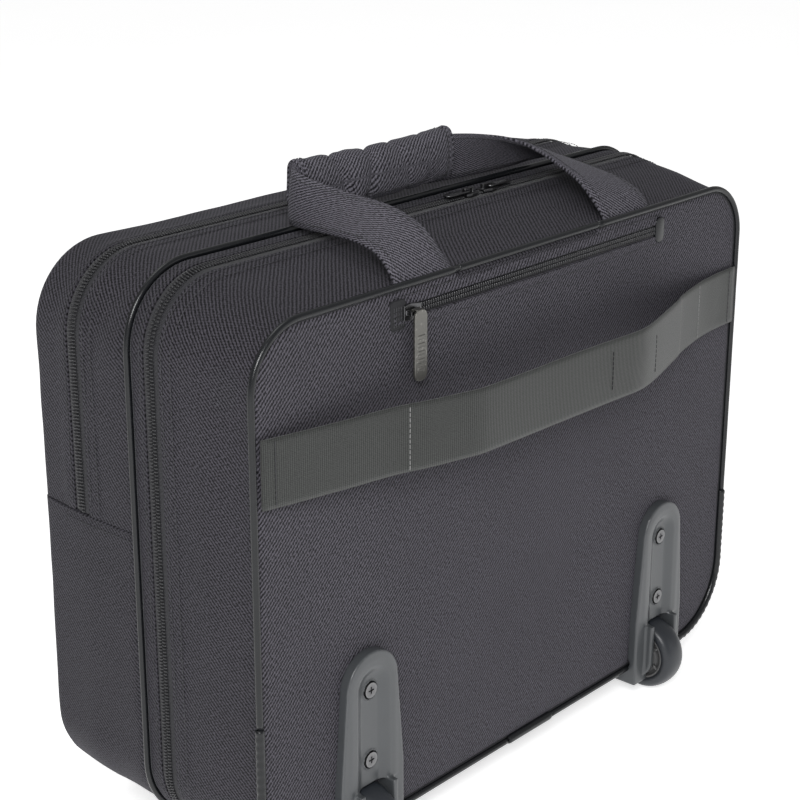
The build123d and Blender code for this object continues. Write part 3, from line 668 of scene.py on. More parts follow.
def prof_line(y0, y1, base=0.0, n=10, roll0=0.0, roll1=0.0, bulge=0.0, w=3.0, rise0=0.0, rise1=0.0):
    """Cross-section of a cloth strip: edges can roll in under a neighbour or stand up as a fold."""
    ys = np.unique(np.round(np.r_[np.linspace(y0, y1, n + 1), y0 + np.array([0.5, 1.2, 2.2, 3.6]), y1 - np.array([0.5, 1.2, 2.2, 3.6])], 3))
    ys = ys[(ys >= y0) & (ys <= y1)]
    out = []
    for y in ys:
        e0, e1 = y - y0, y1 - y
        o = base + bulge * math.sin(math.pi * (y - y0) / (y1 - y0))
        o -= roll0 * math.exp(-(e0 / w * 2.2) ** 2) + roll1 * math.exp(-(e1 / w * 2.2) ** 2)
        # a folded, double-thick hem about 8 mm wide
        o += rise0 * (1 / (1 + math.exp((e0 - 8.4) * 2.2))) + rise1 * (1 / (1 + math.exp((e1 - 8.4) * 2.2)))
        out.append((float(y), o))
    return out


def tube(name, pts, a_dir, b_dir, ra, rb, seg, closed, mat, uv_len=None, caps=True):
    """Round cord through pts. a_dir and b_dir are the section's two directions at each point."""
    pts, a_dir, b_dir = (np.asarray(v, float) for v in (pts, a_dir, b_dir))
    n = len(pts)
    ra = np.broadcast_to(ra, (n,)) if np.ndim(ra) < 2 else ra
    rb = np.broadcast_to(rb, (n,)) if np.ndim(rb) < 2 else rb
    th = np.linspace(0, 2 * math.pi, seg, endpoint=False)
    V = np.zeros((n, seg, 3))
    for k, t in enumerate(th):
        V[:, k] = pts + a_dir * (np.cos(t) * (ra[:, k] if np.ndim(ra) == 2 else ra))[:, None] + b_dir * (np.sin(t) * (rb[:, k] if np.ndim(rb) == 2 else rb))[:, None]
    F = grid_faces(n, seg, closed_n=closed, closed_m=True)
    L = np.r_[0, np.cumsum(np.linalg.norm(np.diff(pts, axis=0), axis=1))]
    UV = np.zeros((n, seg, 2))
    UV[..., 0] = L[:, None] * MM
    UV[..., 1] = (th * float(np.mean(ra)))[None, :] * MM
    V = V.reshape(-1, 3)
    if not closed and caps:
        c0, c1 = len(V), len(V) + 1
        V = np.vstack([V, pts[0], pts[-1]])
        UV = np.vstack([UV.reshape(-1, 2), [[0, 0]], [[0, 0]]])
        F += [(c0, (k + 1) % seg, k) for k in range(seg)]
        F += [(c1, (n - 1) * seg + k, (n - 1) * seg + (k + 1) % seg) for k in range(seg)]
    else:
        UV = UV.reshape(-1, 2)
    ob = mesh_obj(name, V, F, UV, mat=mat)
    return orient_closed(ob)


def peri_path(y, off, ids=None, step=None):
    """Points, outward normals and along-direction round the outline, in local mm."""
    P, Q = peri(y)
    if ids is not None:
        P, Q = P[ids], Q[ids]
    pts = np.c_[P[:, 0] + Q[:, 0] * off, np.full(len(P), y), P[:, 1] + Q[:, 1] * off]
    nor = np.c_[Q[:, 0], np.zeros(len(Q)), Q[:, 1]]
    return pts, nor


def resample(pts, nor, pitch, closed=False, start=0.0, stop=None):
    """Frames every `pitch` mm along a path: position, along, side and out directions."""
    P = np.vstack([pts, pts[:1]]) if closed else np.asarray(pts, float)
    Q = np.vstack([nor, nor[:1]]) if closed else np.asarray(nor, float)
    L = np.r_[0, np.cumsum(np.linalg.norm(np.diff(P, axis=0), axis=1))]
    stop = L[-1] if stop is None else stop
    s = np.arange(start, stop, pitch)
    pos = np.c_[tuple(np.interp(s, L, P[:, i]) for i in range(3))]
    e = 0.6
    ahead = np.c_[tuple(np.interp(np.minimum(s + e, L[-1]), L, P[:, i]) for i in range(3))]
    back = np.c_[tuple(np.interp(np.maximum(s - e, 0), L, P[:, i]) for i in range(3))]
    t = ahead - back
    t /= np.linalg.norm(t, axis=1)[:, None] + 1e-12
    o = np.c_[tuple(np.interp(s, L, Q[:, i]) for i in range(3))]
    o -= t * (o * t).sum(1)[:, None]
    o /= np.linalg.norm(o, axis=1)[:, None] + 1e-12
    b = np.cross(o, t)
    return pos, t, b, o


def stamp(name, tv, tf, frames, mat, jitter=0.0, seed=1):
    """A small shape repeated at each frame: tv holds (along, side, out) in mm."""
    pos, t, b, o = frames
    rng = np.random.RandomState(seed)
    tv = np.asarray(tv, float)
    n, k = len(pos), len(tv)
    scale = 1 + (rng.rand(n) - 0.5) * jitter
    yaw = (rng.rand(n) - 0.5) * jitter * 0.6
    ax, sx = np.cos(yaw), np.sin(yaw)
    t2 = t * ax[:, None] + b * sx[:, None]
    b2 = b * ax[:, None] - t * sx[:, None]
    V = pos[:, None, :] + t2[:, None, :] * (tv[None, :, 0] * scale[:, None])[..., None] + b2[:, None, :] * tv[None, :, 1][..., None] + o[:, None, :] * tv[None, :, 2][..., None]
    F = [tuple(i * k + j for j in f) for i in range(n) for f in tf]
    ob = mesh_obj(name, V.reshape(-1, 3), F, np.tile(tv[:, :2] * MM, (n, 1)), mat=mat)
    return orient_closed(ob)


def capsule(length, width, height, ringn=6, sink=0.3):
    """Closed little pillow along the first axis, for a stitch or a zip tooth."""
    xs = [-0.5, -0.38, 0.0, 0.38, 0.5]
    rs = [0.35, 0.9, 1.0, 0.9, 0.35]
    V = []
    for x, r in zip(xs, rs):
        for k in range(ringn):
            a = 2 * math.pi * k / ringn
            V.append((x * length, math.cos(a) * width / 2 * r, math.sin(a) * height / 2 * r + height / 2 * (1 - 2 * sink)))
    F = grid_faces(len(xs), ringn, closed_m=True)
    F.append(tuple(range(ringn)))
    F.append(tuple(reversed(range((len(xs) - 1) * ringn, len(xs) * ringn))))
    return V, F


STITCH = capsule(2.5, 0.62, 0.5)


def stitch_path(pts, nor, pitch=3.3, closed=False, mat="thread", name="st"):
    return stamp(name, *STITCH, resample(pts, nor, pitch, closed, start=1.0), mat, jitter=0.12)


# tooth of a coil zip: lies across the zip, with a raised bulb at the middle line
def tooth(side):
    V, F = capsule(2.6, 1.15, 1.6, 6, sink=0.2)
    V = [(y, x * 1.0, z) for x, y, z in V]
    V = [(a, b + 0.0, c + (0.12 if b * side > 0.6 else 0)) for a, b, c in V]
    return V, [tuple(reversed(f)) for f in F]


# ---------------------------------------------------------------- cloth shells round the case
def ruffle(big=0.9, small=0.22, seed=0.0, extra=None):
    def f(p3, y, arc):
        q = p3 + np.array([seed, seed * 0.7, seed * 1.3]) + 500
        d = noise3(q * np.array([1, 1.4, 1]), 52.0) * big + noise3(q + 90, 17.0) * small
        if extra is not None:
            d = d + extra(p3, y, arc)
        return d
    return f


def edge_calm(y, y0, y1, w=5.0):
    e = min(y - y0, y1 - y)
    return max(0.0, min(1.0, e / w))


def rear_extra(p3, y, arc):
    # light pucker beside the piping seam
    return 0.35 * np.sin(arc / 6.3 + 1.7 * np.sin(arc / 23.0)) * math.exp(-((y - 7) / 5.0) ** 2)


def calm(fn, y0, y1, w=5.0):
    def g(p3, y, arc):
        return fn(p3, y, arc) * edge_calm(y, y0, y1, w)
    return g


def in_slot(c):
    x, y, z = c[0], c[1], c[2]
    return abs(x) < 65.0 and y < 34.6 and z > H - 4


def in_bay(c):
    return abs(abs(c[0]) - 142.5) < 17 and c[1] < 33 and c[2] < 33


rear_prof = prof_line(0.9, 64.0, n=22, roll0=0.9, roll1=0.0, bulge=0.5, rise1=0.8)
rear = band("rear_gusset_cloth", rear_prof, "twill_gusset", disp=calm(ruffle(0.9, 0.22, 3.0, rear_extra), 0.9, 64.0, 6.0),
            drop=lambda c: in_slot(c) or in_bay(c))
bot = band("rear_gusset_base", [(63.9, 0.3), (66, 0.2), (69.7, 0.1)], "twill_gusset", idx=idx_range(I_CUT_L, I_CUT_R))
put(join("rear_gusset_fabric", [rear, bot]), "root", "gusset_fabric", "rear_gusset")


def uv_from_xz(ob):
    me = ob.data
    nv = len(me.vertices)
    co = np.zeros(nv * 3)
    me.vertices.foreach_get("co", co)
    co = co.reshape(-1, 3)
    idx = np.zeros(len(me.loops), int)
    me.loops.foreach_get("vertex_index", idx)
    me.uv_layers["UVMap"].data.foreach_set("uv", co[:, [0, 2]][idx].astype(np.float32).ravel())


# back panel cloth: rings drawn in from the outline
def face_rings(y_of, ds, y_ref, mat, name, drop=None, centre_dir=(0, 1, 0), thick=2.0, d_shift=0.0):
    V, UV = [], []
    _, za, zb, _, _ = station(y_ref)
    dm = (zb - za) / 2 - 0.06
    ds = [d for d in ds if d < dm - 2.5] + [dm - 1.0]
    CENTRE_Z[0] = Z0 + (za + zb) / 2 * MM
    for d in ds:
        P, _ = peri(y_ref, d)
        yy = y_of(P, d)
        V.append(np.c_[P[:, 0], yy, P[:, 1]])
        UV.append(P * MM)
    n = len(ds)
    V, UV = np.concatenate(V), np.concatenate(UV)
    F = grid_faces(n, NP_, closed_m=True)
    if drop is not None:
        F = [f for f in F if not drop(V[list(f)].mean(0))]
    ob = mesh_obj(name, V, F, UV, mat=mat)
    bm = bmesh.new()
    bm.from_mesh(ob.data)
    bmesh.ops.remove_doubles(bm, verts=bm.verts, dist=2e-4)
    bmesh.ops.dissolve_degenerate(bm, dist=1e-5, edges=bm.edges)
    bmesh.ops.delete(bm, geom=[v for v in bm.verts if not v.link_faces], context="VERTS")
    bm.to_mesh(ob.data)
    bm.free()
    fill_centre(ob)
    layer = ob.data.uv_layers.get("UVMap")
    uv_from_xz(ob)
    orient(ob, direction=centre_dir)
    if thick:
        solidify(ob, thick)
        orient_closed(ob)
        sharp(ob)
    return ob


BZX0, BZX1, BZZ = -118.0, 134.0, 299.5


def panel_y(P, d):
    p3 = np.c_[P[:, 0], np.zeros(len(P)), P[:, 1]] + 700
    e = np.full(len(P), float(d))
    y = 1.3 * np.exp(-(e / 2.4) ** 1.6) - 0.9 * (1 - np.exp(-e / 14.0))
    soft = min(1.0, d / 12.0)
    y = y + soft * (-noise3(p3, 75.0) * 0.8 - noise3(p3 + 50, 24.0) * 0.18)
    # pucker along the seam
    y = y + 0.22 * np.sin((P[:, 0] + P[:, 1]) / 4.9) * math.exp(-((d - 6) / 4.0) ** 2)
    # hems round the pocket zip's window
    wx = np.maximum(np.maximum(BZX0 - P[:, 0], P[:, 0] - BZX1), 0)
    wz = np.maximum(np.abs(P[:, 1] - BZZ) - 3.9, 0)
    w = np.hypot(wx, wz)
    y = y - 0.75 * np.exp(-(w / 2.6) ** 2) + 0.35 * np.exp(-((w - 6.0) / 1.6) ** 2)
    return y


DS = [0.0, 0.7, 1.6, 2.8, 4.8, 6.5, 8.2, 9.6, 13.5, 17.4, 18.8, 21.0, 24.5, 29.0, 34.0] + list(np.arange(40.0, 150.0, 6.0)) + [152.0, 155.5]


def drop_panel(c):
    x, z = c[0], c[2]
    if BZX0 - 0.5 < x < BZX1 + 0.5 and abs(z - BZZ) < 3.8:
        return True
    if abs(x) < 65.0 and z > 308.0:
        return True
    return abs(abs(x) - 142.5) < 16 and z < 25


put(face_rings(panel_y, DS, 0.0, "twill_panel", "back_panel_cloth", drop_panel), "root", "panel_fabric", "back_panel")

# soft handle flap: the strip over the pull handle, with its length of piping
ids_flap = idx_range(I_SLOT_R, I_SLOT_L)
V, UV = [], []
flap_prof = [("p", z, 0) for z in (308.3, 309.5, 311.2, 312.2, 313.0)] + [("g", y, o) for y, o in rear_prof if y < 36.0]
flap_disp = calm(ruffle(0.9, 0.22, 3.0, rear_extra), 0.9, 64.0, 6.0)
L = 0.0
for kind, a, b in flap_prof:
    P, Q = peri(0.0 if kind == "p" else a)
    P, Q = P[ids_flap], Q[ids_flap]
    x = np.clip(P[:, 0], -64.95, 64.95)
    if kind == "p":
        d = 313.0 - a
        V.append(np.c_[x, np.full(len(x), 1.3 * math.exp(-(d / 2.4) ** 1.6) - 0.25 * (1 - math.exp(-d / 14.0))), np.full(len(x), a)])
    else:
        p3 = np.c_[P[:, 0], np.full(len(x), a), P[:, 1]]
        V.append(np.c_[x, np.full(len(x), a), P[:, 1] + b + flap_disp(p3, a, ARC[ids_flap])])
    UV.append(np.c_[ARC[ids_flap] * MM, np.full(len(x), L * MM)])
    L += 2.2
V, UV = np.concatenate(V), np.concatenate(UV)
fl = mesh_obj("flap_cloth", V, grid_faces(len(flap_prof), len(ids_flap)), UV, mat="twill_gusset")
orient(fl, centre=MID)
solidify(fl, 2.0)
orient_closed(fl)
sharp(fl)
PIPE_OFF, PIPE_R = 1.6, 2.0
pts, nor = peri_path(0.0, PIPE_OFF, ids_flap)
pts[:, 0] = np.clip(pts[:, 0], -64.7, 64.7)
YD = np.array([0.0, 1.0, 0.0])
V = []
for off, y in ((-3.0, 1.0), (-3.0, 1.9), (1.6, 1.5), (1.6, 0.2)):
    p_, _n = peri_path(y, off, ids_flap)
    p_[:, 0] = np.clip(p_[:, 0], -64.7, 64.7)
    V.append(p_)
nn_ = len(ids_flap)
V = np.concatenate(V)
flange = orient_closed(mesh_obj("ff", V, grid_faces(4, nn_, closed_n=True) + [(0, nn_, 2 * nn_, 3 * nn_), (nn_ - 1, 4 * nn_ - 1, 3 * nn_ - 1, 2 * nn_ - 1)], V[:, [0, 2]] * MM, mat="seam_dark"))
fp = tube("flap_pipe", pts, nor, np.tile(YD, (len(pts), 1)), PIPE_R, PIPE_R, 12, False, "piping_pvc")
flap = join("handle_flap_soft", [fl, fp, flange])
put(flap, "root", "gusset_fabric", "handle_flap")
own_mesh(flap)

# ---------------------------------------------------------------- piping on the back edge
parts = []
segs = [idx_range(first_of(8, 0.0) + 0, first_of(0, 0.0))]


def pipe_piece(name, ids, y, off, r, mat="piping_pvc", bumps=0.0, seg=14):
    pts, nor = peri_path(y, off, ids)
    n = len(pts)
    th = np.linspace(0, 2 * math.pi, seg, endpoint=False)
    L = np.r_[0, np.cumsum(np.linalg.norm(np.diff(pts, axis=0), axis=1))]
    jig = noise3(pts + 300, 9.0) * 0.06
    ra = np.tile((r + jig)[:, None], (1, seg))
    if bumps:
        ra = ra + bumps * (0.5 + 0.5 * np.sin(L * 2 * math.pi / 5.2))[:, None] * np.maximum(np.cos(th), 0)[None, :]
    # raised line of the cord inside its cover
    return tube(name, pts, nor, np.tile(YD, (n, 1)), ra, ra, seg, False, mat)


def dense(ids, y, off, k=4):
    """More points along a stretch of outline."""
    pts, nor = peri_path(y, off, ids)
    t = np.arange(len(pts))
    tt = np.linspace(0, len(pts) - 1, (len(pts) - 1) * k + 1)
    p = np.c_[tuple(np.interp(tt, t, pts[:, i]) for i in range(3))]
    q = np.c_[tuple(np.interp(tt, t, nor[:, i]) for i in range(3))]
    q /= np.linalg.norm(q, axis=1)[:, None]
    return p, q


P0, _ = peri(0.0)
z_side = P0[:, 1]
i_r97 = int(np.argmin(np.abs(np.where(SEG == 2, z_side, 1e9) - 97)))
i_l97 = int(np.argmin(np.abs(np.where(SEG == 6, z_side, 1e9) - 97)))
i_b_r = int(np.argmin(np.abs(np.where(SEG == 0, P0[:, 0], 1e9) - 175)))
i_b_l = int(np.argmin(np.abs(np.where(SEG == 8, P0[:, 0], 1e9) + 175)))
i_j0 = int(np.argmin(np.abs(np.where(SEG == 8, P0[:, 0], 1e9) + 12.5)))
i_j1 = int(np.argmin(np.abs(np.where(SEG == 0, P0[:, 0], 1e9) - 32)))
runs = [idx_range(i_r97, I_SLOT_R), idx_range(I_SLOT_L, i_l97), idx_range(i_b_l, i_j0), idx_range(i_j1, i_b_r)]
bp = [pipe_piece(f"bp{k}", r, 0.0, PIPE_OFF, PIPE_R) for k, r in enumerate(runs)]
# the piping's own flange, sewn between the panel and the gusset
for k, ids in enumerate([idx_range(I_SLOT_L, I_SLOT_R)]):
    V = []
    for off, y in ((-3.0, 1.0), (-3.0, 1.9), (1.6, 1.5), (1.6, 0.2)):
        p_, _n = peri_path(y, off, ids)
        V.append(p_)
    nn_ = len(ids)
    F_ = grid_faces(4, nn_, closed_n=True)
    V = np.concatenate(V)
    F_ += [(0, nn_, 2 * nn_, 3 * nn_), (nn_ - 1, 4 * nn_ - 1, 3 * nn_ - 1, 2 * nn_ - 1)]
    bp.append(orient_closed(mesh_obj("bpf", V, F_, V[:, [0, 2]] * MM, mat="seam_dark")))
put(join("back_edge_piping", bp), "root", "piping", "back_piping")


def sleeve(name, ids, r, bumps):
    pts, nor = dense(ids, 0.0, PIPE_OFF, 4)
    n, seg = len(pts), 16
    th = np.linspace(0, 2 * math.pi, seg, endpoint=False)
    Ls = np.r_[0, np.cumsum(np.linalg.norm(np.diff(pts, axis=0), axis=1))]
    end = np.minimum(np.minimum(Ls, Ls[-1] - Ls) / 1.2, 1.0)
    rr = (r * (0.82 + 0.18 * end))[:, None] * np.ones((1, seg))
    if bumps:
        wave = 0.5 + 0.5 * np.sin(Ls * 2 * math.pi / 5.0)
        rr = rr + bumps * wave[:, None] * np.maximum(np.cos(th) * 0.8 - np.sin(th) * 0.3, 0)[None, :] - bumps * 0.5
    return tube(name, pts, nor, np.tile(YD, (n, 1)), rr, rr, seg, False, "piping_pvc")


sl = [sleeve("s0", idx_range(i_b_r, i_r97), 2.9, 0.55), sleeve("s1", idx_range(i_l97, i_b_l), 2.9, 0.55), sleeve("s2", idx_range(i_j0, i_j1), 2.75, 0.0)]
put(join("piping_corner_sleeves", sl), "root", "piping", "piping_sleeves")

# ---------------------------------------------------------------- zips round the case
TOOTH_R = tooth(-1)
TOOTH_F = tooth(1)


def zip_half(name, y_tape0, y_tape1, y_teeth, off, ids, closed, top_off=0.0, pitch=1.95, cut=None, seed=1, base=-0.2):
    tape_prof = [(y_tape0, base - 0.5), (y_tape0 + (y_tape1 - y_tape0) * 0.3, base + 0.05), (y_tape0 + (y_tape1 - y_tape0) * 0.7, base + 0.25), (y_tape1, base + 0.25)]
    tp = band(name + "_tape", tape_prof, "zip_tape", idx=ids, thick=0.8, cut=cut)
    pts, nor = peri_path(y_teeth, off, ids)
    fr = resample(pts, nor, pitch)
    if cut is not None:
        m = fr[0][:, 2] > cut + 1.2
        fr = tuple(a[m] for a in fr)
    te = stamp(name + "_teeth", *TOOTH_R, fr, "coil", jitter=0.05, seed=seed)
    return [tp, te]


ids_zip = idx_range(I_CUT_R, I_CUT_L)
zr = zip_half("zr", 62.5, 69.80, 68.52, 0.55, ids_zip, False)
# two rows of stitching along the rear hem
for y, o in ((61.6, 1.05), (55.2, 0.95)):
    pts, nor = peri_path(y, o, ids_zip)
    zr.append(stitch_path(pts, nor, name=f"zs{y}"))
# guard strip behind the coils, so nothing shows through between the two tapes
zr.append(band("zg", [(68.9, -2.4), (70.1, -2.4), (71.3, -2.4)], "zip_tape", thick=0.5))
put(join("main_zip_rear_half", zr), "root", "zip_tape", "main_zip_rear")

zf = zip_half("zf", 77.6, 70.20, 71.48, 0.55, ids_zip, False, seed=2)
put(join("main_zip_front_half", zf), "front_section", "zip_tape", "main_zip_front")

# middle gusset between the zip and the divider's piping
mid_prof = prof_line(76.0, 85.6, n=8, rise0=0.0, roll1=0.8, base=0.75, w=2.0)
mid = band("mid_a", mid_prof, "twill_gusset", disp=calm(ruffle(0.3, 0.2, 9.0), 76.0, 85.6, 3.0))
midb = band("mid_b", [(70.25, 0.1), (73, 0.2), (76.1, 0.6)], "twill_gusset", idx=idx_range(I_CUT_L, I_CUT_R))
ms = []
for y, o in ((78.4, 0.8),):
    pts, nor = peri_path(y, o, ids_zip)
    ms.append(stitch_path(pts, nor, name=f"ms{y}"))
put(join("mid_gusset_fabric", [mid, midb] + ms), "front_section", "gusset_fabric", "mid_gusset")
pts, nor = peri_path(Y_PIPE + 1.3, 1.5)
put(tube("mid_edge_piping", pts, nor, np.tile(YD, (len(pts), 1)), 1.95, 1.75, 14, True, "piping_pvc"), "front_section", "piping", "mid_piping")

# organiser gusset, above the lower pocket
def org_extra(p3, y, arc):
    x, z = p3[:, 0], p3[:, 2]
    corner = np.exp(-(((x + 205) / 46) ** 2 + ((z - 296) / 46) ** 2))
    return corner * (0.9 * np.sin(y / 5.2 + z / 11.0) + 0.5 * np.sin(z / 6.1)) - 0.4


org_prof = prof_line(89.2, 127.0, n=16, roll0=1.2, bulge=0.8, rise1=0.8)
org = band("organiser_gusset_fabric", org_prof, "twill_gusset", disp=calm(ruffle(1.1, 0.3, 17.0, org_extra), 89.2, 127.0, 5.0), cut=Z_SEAM)
put(org, "front_section", "gusset_fabric", "organiser_gusset")
i_s_r = first_of(2, (Z_SEAM - 44) / 241.0) - 1
i_s_l = first_of(6, 1 - (Z_SEAM - 44) / 241.0) + 1
ids_org = idx_range(i_s_r, i_s_l)
zo = zip_half("zo", 125.5, 132.80, 131.52, 0.55, ids_org, False, cut=Z_SEAM + 0.6, seed=3)
for y, o in ((124.6, 1.0), (118.3, 0.9)):
    pts, nor = peri_path(y, o, ids_org)
    m = pts[:, 2] > Z_SEAM + 1
    zo.append(stitch_path(pts[m], nor[m], name=f"os{y}"))
zo.append(band("og", [(131.8, -1.6), (133.0, -1.6), (134.2, -1.6)], "zip_tape", idx=ids_org, thick=0.5, cut=Z_SEAM + 0.6))
put(join("organiser_zip_rear_half", zo), "front_section", "zip_tape", "organiser_zip_rear")
zq = zip_half("zq", 140.6, 133.20, 134.48, 0.55, ids_org, False, cut=Z_SEAM + 0.6, seed=4)
pts, nor = peri_path(141.2, 1.0, ids_org)
m = pts[:, 2] > Z_SEAM + 1
zq.append(stitch_path(pts[m], nor[m], name="oq"))
put(join("organiser_zip_flap_half", zq), "organiser_flap", "zip_tape", "organiser_zip_front")


# ---------------------------------------------------------------- front: flap above, pocket below
def front_shell(name, y0, z_cut, side, mat, puff, seed, body_extra=None):
    """Side wall, rounded front edge and front face in one cloth, kept above or below a seam."""
    prof = []
    for y in np.linspace(y0, 164.0, 10 if y0 > 100 else 20):
        prof.append((float(y), 0.0))
    prof += [(166.0, 0.0), (168.0, 0.0), (169.8, -0.1), (171.0, -0.6), (171.8, -1.6)]
    dm = (station(Y_FRONT)[2] - station(Y_FRONT)[1]) / 2 - 0.06
    rings_d = [3.5, 6.0, 10.0, 15.0, 21.0, 28.0] + list(np.arange(36.0, 150.0, 8.0)) + [dm - 1.0]
    CENTRE_Z[0] = Z0 + (station(Y_FRONT)[1] + station(Y_FRONT)[2]) / 2 * MM
    V, UV = [], []
    L = 0.0
    last = None
    y_end = Y_FRONT
    for y, off in prof:
        P, Q = peri(min(y, 165.0) if y > 165 else y)
        # from 165 to the front the outline draws in along a quarter round
        if y > 165:
            t = (y - 165.0) / 7.0
            Pf, _ = peri(Y_FRONT)
            k = 1 - math.sqrt(max(0.0, 1 - min(t, 1.0) ** 2))
            P = P * (1 - k) + Pf * k
        p3 = np.c_[P[:, 0], np.full(NP_, y), P[:, 1]]
        o = np.full(NP_, off)
        q = p3 + seed * 31.0 + 400
        c = min(1.0, (y - y0) / 5.0)
        o = o + c * (noise3(q * np.array([1, 1.3, 1]), 55.0) * 1.0 + noise3(q, 18.0) * 0.28)
        if y0 > 100:
            o = o + 0.7 / (1 + math.exp((y - y0 - 8.0) * 1.6))
        else:
            o = o - 1.0 * math.exp(-((y - y0) / 1.6) ** 2)
        if body_extra is not None:
            o = o + body_extra(p3, y) * c
        V.append(np.c_[P[:, 0] + Q[:, 0] * o, np.full(NP_, y), P[:, 1] + Q[:, 1] * o])
        UV.append(np.c_[ARC * MM, np.full(NP_, y * MM)])
    for d in rings_d:
        P, Q = peri(Y_FRONT, d)
        if d == rings_d[-1]:
            P[:, 1] = (station(Y_FRONT)[1] + station(Y_FRONT)[2]) / 2
        p3 = np.c_[P[:, 0], np.full(NP_, 172.0), P[:, 1]]
        q = p3 + seed * 31.0 + 400
        e = min(1.0, d / 30.0)
        yy = Y_FRONT + puff(P) * e + noise3(q, 60.0) * 1.0 * e + noise3(q, 20.0) * 0.25 * e
        V.append(np.c_[P[:, 0], yy, P[:, 1]])
        UV.append(P * MM + np.array([0.0, 0.2]))
    n = len(V)
    V, UV = np.concatenate(V), np.concatenate(UV)
    ob = mesh_obj(name, V, grid_faces(n, NP_, closed_m=True), UV, mat=mat)
    bm = bmesh.new()
    bm.from_mesh(ob.data)
    bmesh.ops.remove_doubles(bm, verts=bm.verts, dist=2e-4)
    bmesh.ops.dissolve_degenerate(bm, dist=1e-5, edges=bm.edges)
    bm.to_mesh(ob.data)
    bm.free()
    fill_centre(ob)
    slice_z(ob, z_cut, side)
    orient(ob, centre=MID)
    return ob


def flap_puff(P):
    x, z = P[:, 0] / 200.0, (P[:, 1] - 250.0) / 70.0
    return -0.2 - 1.6 * np.clip(1 - x ** 2, 0, 1) * np.clip(1 - z ** 2, 0, 1) * -1.0 - 1.8


def pocket_puff(P):
    x, z = P[:, 0] / 210.0, (P[:, 1] - 92.0) / 92.0
    return -2.2 + 2.6 * np.clip(1 - x ** 2, 0, 1) * np.clip(1 - z ** 2, 0, 1)


def pocket_extra(p3, y):
    z = p3[:, 2]
    # the wall sags out a little low down, with folds near the bottom corners
    low = np.exp(-((z - 60) / 55.0) ** 2)
    return 0.9 * low + low * 0.7 * np.sin(y / 7.5 + z / 17.0) * np.exp(-((z - 25) / 35.0) ** 2)


fs = front_shell("front_flap_cloth", 139.4, Z_SEAM + 0.5, 1, "twill_gusset", flap_puff, 2.0)
solidify(fs, 2.0)
orient_closed(fs)
sharp(fs)
put(fs, "organiser_flap", "panel_fabric", "front_flap")
ps = front_shell("lower_pocket_cloth", 89.4, Z_SEAM - 0.1, -1, "twill_gusset", pocket_puff, 5.0, pocket_extra)
solidify(ps, 2.0)
orient_closed(ps)
sharp(ps)
# seam along the pocket's top edge: a folded binding and its stitches
pk = [ps]
for sx, sg in ((1, 2), (-1, 6)):
    m = [first_of(sg, (Z_SEAM - 44) / 241.0 if sg == 2 else 1 - (Z_SEAM - 44) / 241.0)]
    ys = np.linspace(90.5, 163.0, 40)
    line = []
    for y in ys:
        hw = station(y)[0]
        line.append((sx * (hw + 0.35), y, Z_SEAM - 6.0))
    line = np.array(line)
    pk.append(stitch_path(line, np.tile([sx, 0, 0], (len(line), 1)), name=f"ps{sx}"))
    rim = line.copy()
    rim[:, 2] = Z_SEAM - 1.1
    rim[:, 0] = sx * (np.abs(rim[:, 0]) + 0.05)
    pk.append(tube(f"pr{sx}", rim, np.tile([sx, 0, 0], (len(rim), 1)), np.tile([0, 0, 1.0], (len(rim), 1)), 0.8, 0.95, 8, False, "twill_gusset"))
put(join("lower_pocket_fabric", pk), "front_section", "panel_fabric", "lower_pocket")


# ---------------------------------------------------------------- smooth curves through stations
def catmull(P, n):
    """n points per span through the stations, smooth."""
    P = np.asarray(P, float)
    E = np.concatenate([2 * P[:1] - P[1:2], P, 2 * P[-1:] - P[-2:-1]])
    out = []
    for i in range(len(P) - 1):
        a, b, c, d = E[i], E[i + 1], E[i + 2], E[i + 3]
        for t in np.linspace(0, 1, n, endpoint=False):
            out.append(0.5 * (2 * b + (c - a) * t + (2 * a - 5 * b + 4 * c - d) * t ** 2 + (3 * b - a - 3 * c + d) * t ** 3))
    out.append(P[-1])
    return np.array(out)


# ---------------------------------------------------------------- trolley strap
WEB = [(-219.6, -2.2), (-196, -7.5), (-166, -13.5), (-147, -17), (-134, -20), (-117, -25.5), (-98, -30.5), (-86, -33.5),
       (-72, -34.6), (-25, -35.2), (19, -36.2), (43, -37.0), (58, -37.4), (70, -36.2), (88, -31.6), (108, -25.4),
       (130, -18.2), (140, -14.4), (173, -6.5), (196, -3.4), (219.6, -2.2)]
WB_LO, WB_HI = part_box("trolley_strap")
WZ0, WZ1 = (WB_LO.z - Z0) / MM, (WB_HI.z - Z0) / MM
path = catmull(WEB, 6)
n = len(path)
tan = np.gradient(path, axis=0)
tan /= np.linalg.norm(tan, axis=1)[:, None]
nrm = np.c_[tan[:, 1], -tan[:, 0]]           # towards the back (-y)
s = np.r_[0, np.cumsum(np.linalg.norm(np.diff(path, axis=0), axis=1))]
cols = 15
sec = []                                      # closed flat section: (height, thickness)
zz = np.linspace(0, 1, cols)
half = 0.75
for t in zz:
    edge = 1 - 0.35 * math.exp(-min(t, 1 - t) * (WZ1 - WZ0) / 0.8) + 0.22 * math.exp(-((min(t, 1 - t) * (WZ1 - WZ0) - 2.0) / 1.0) ** 2)
    sec.append((t, half * edge))
loop = [(t, h) for t, h in sec] + [(t, -h) for t, h in reversed(sec)]
V, UV = [], []
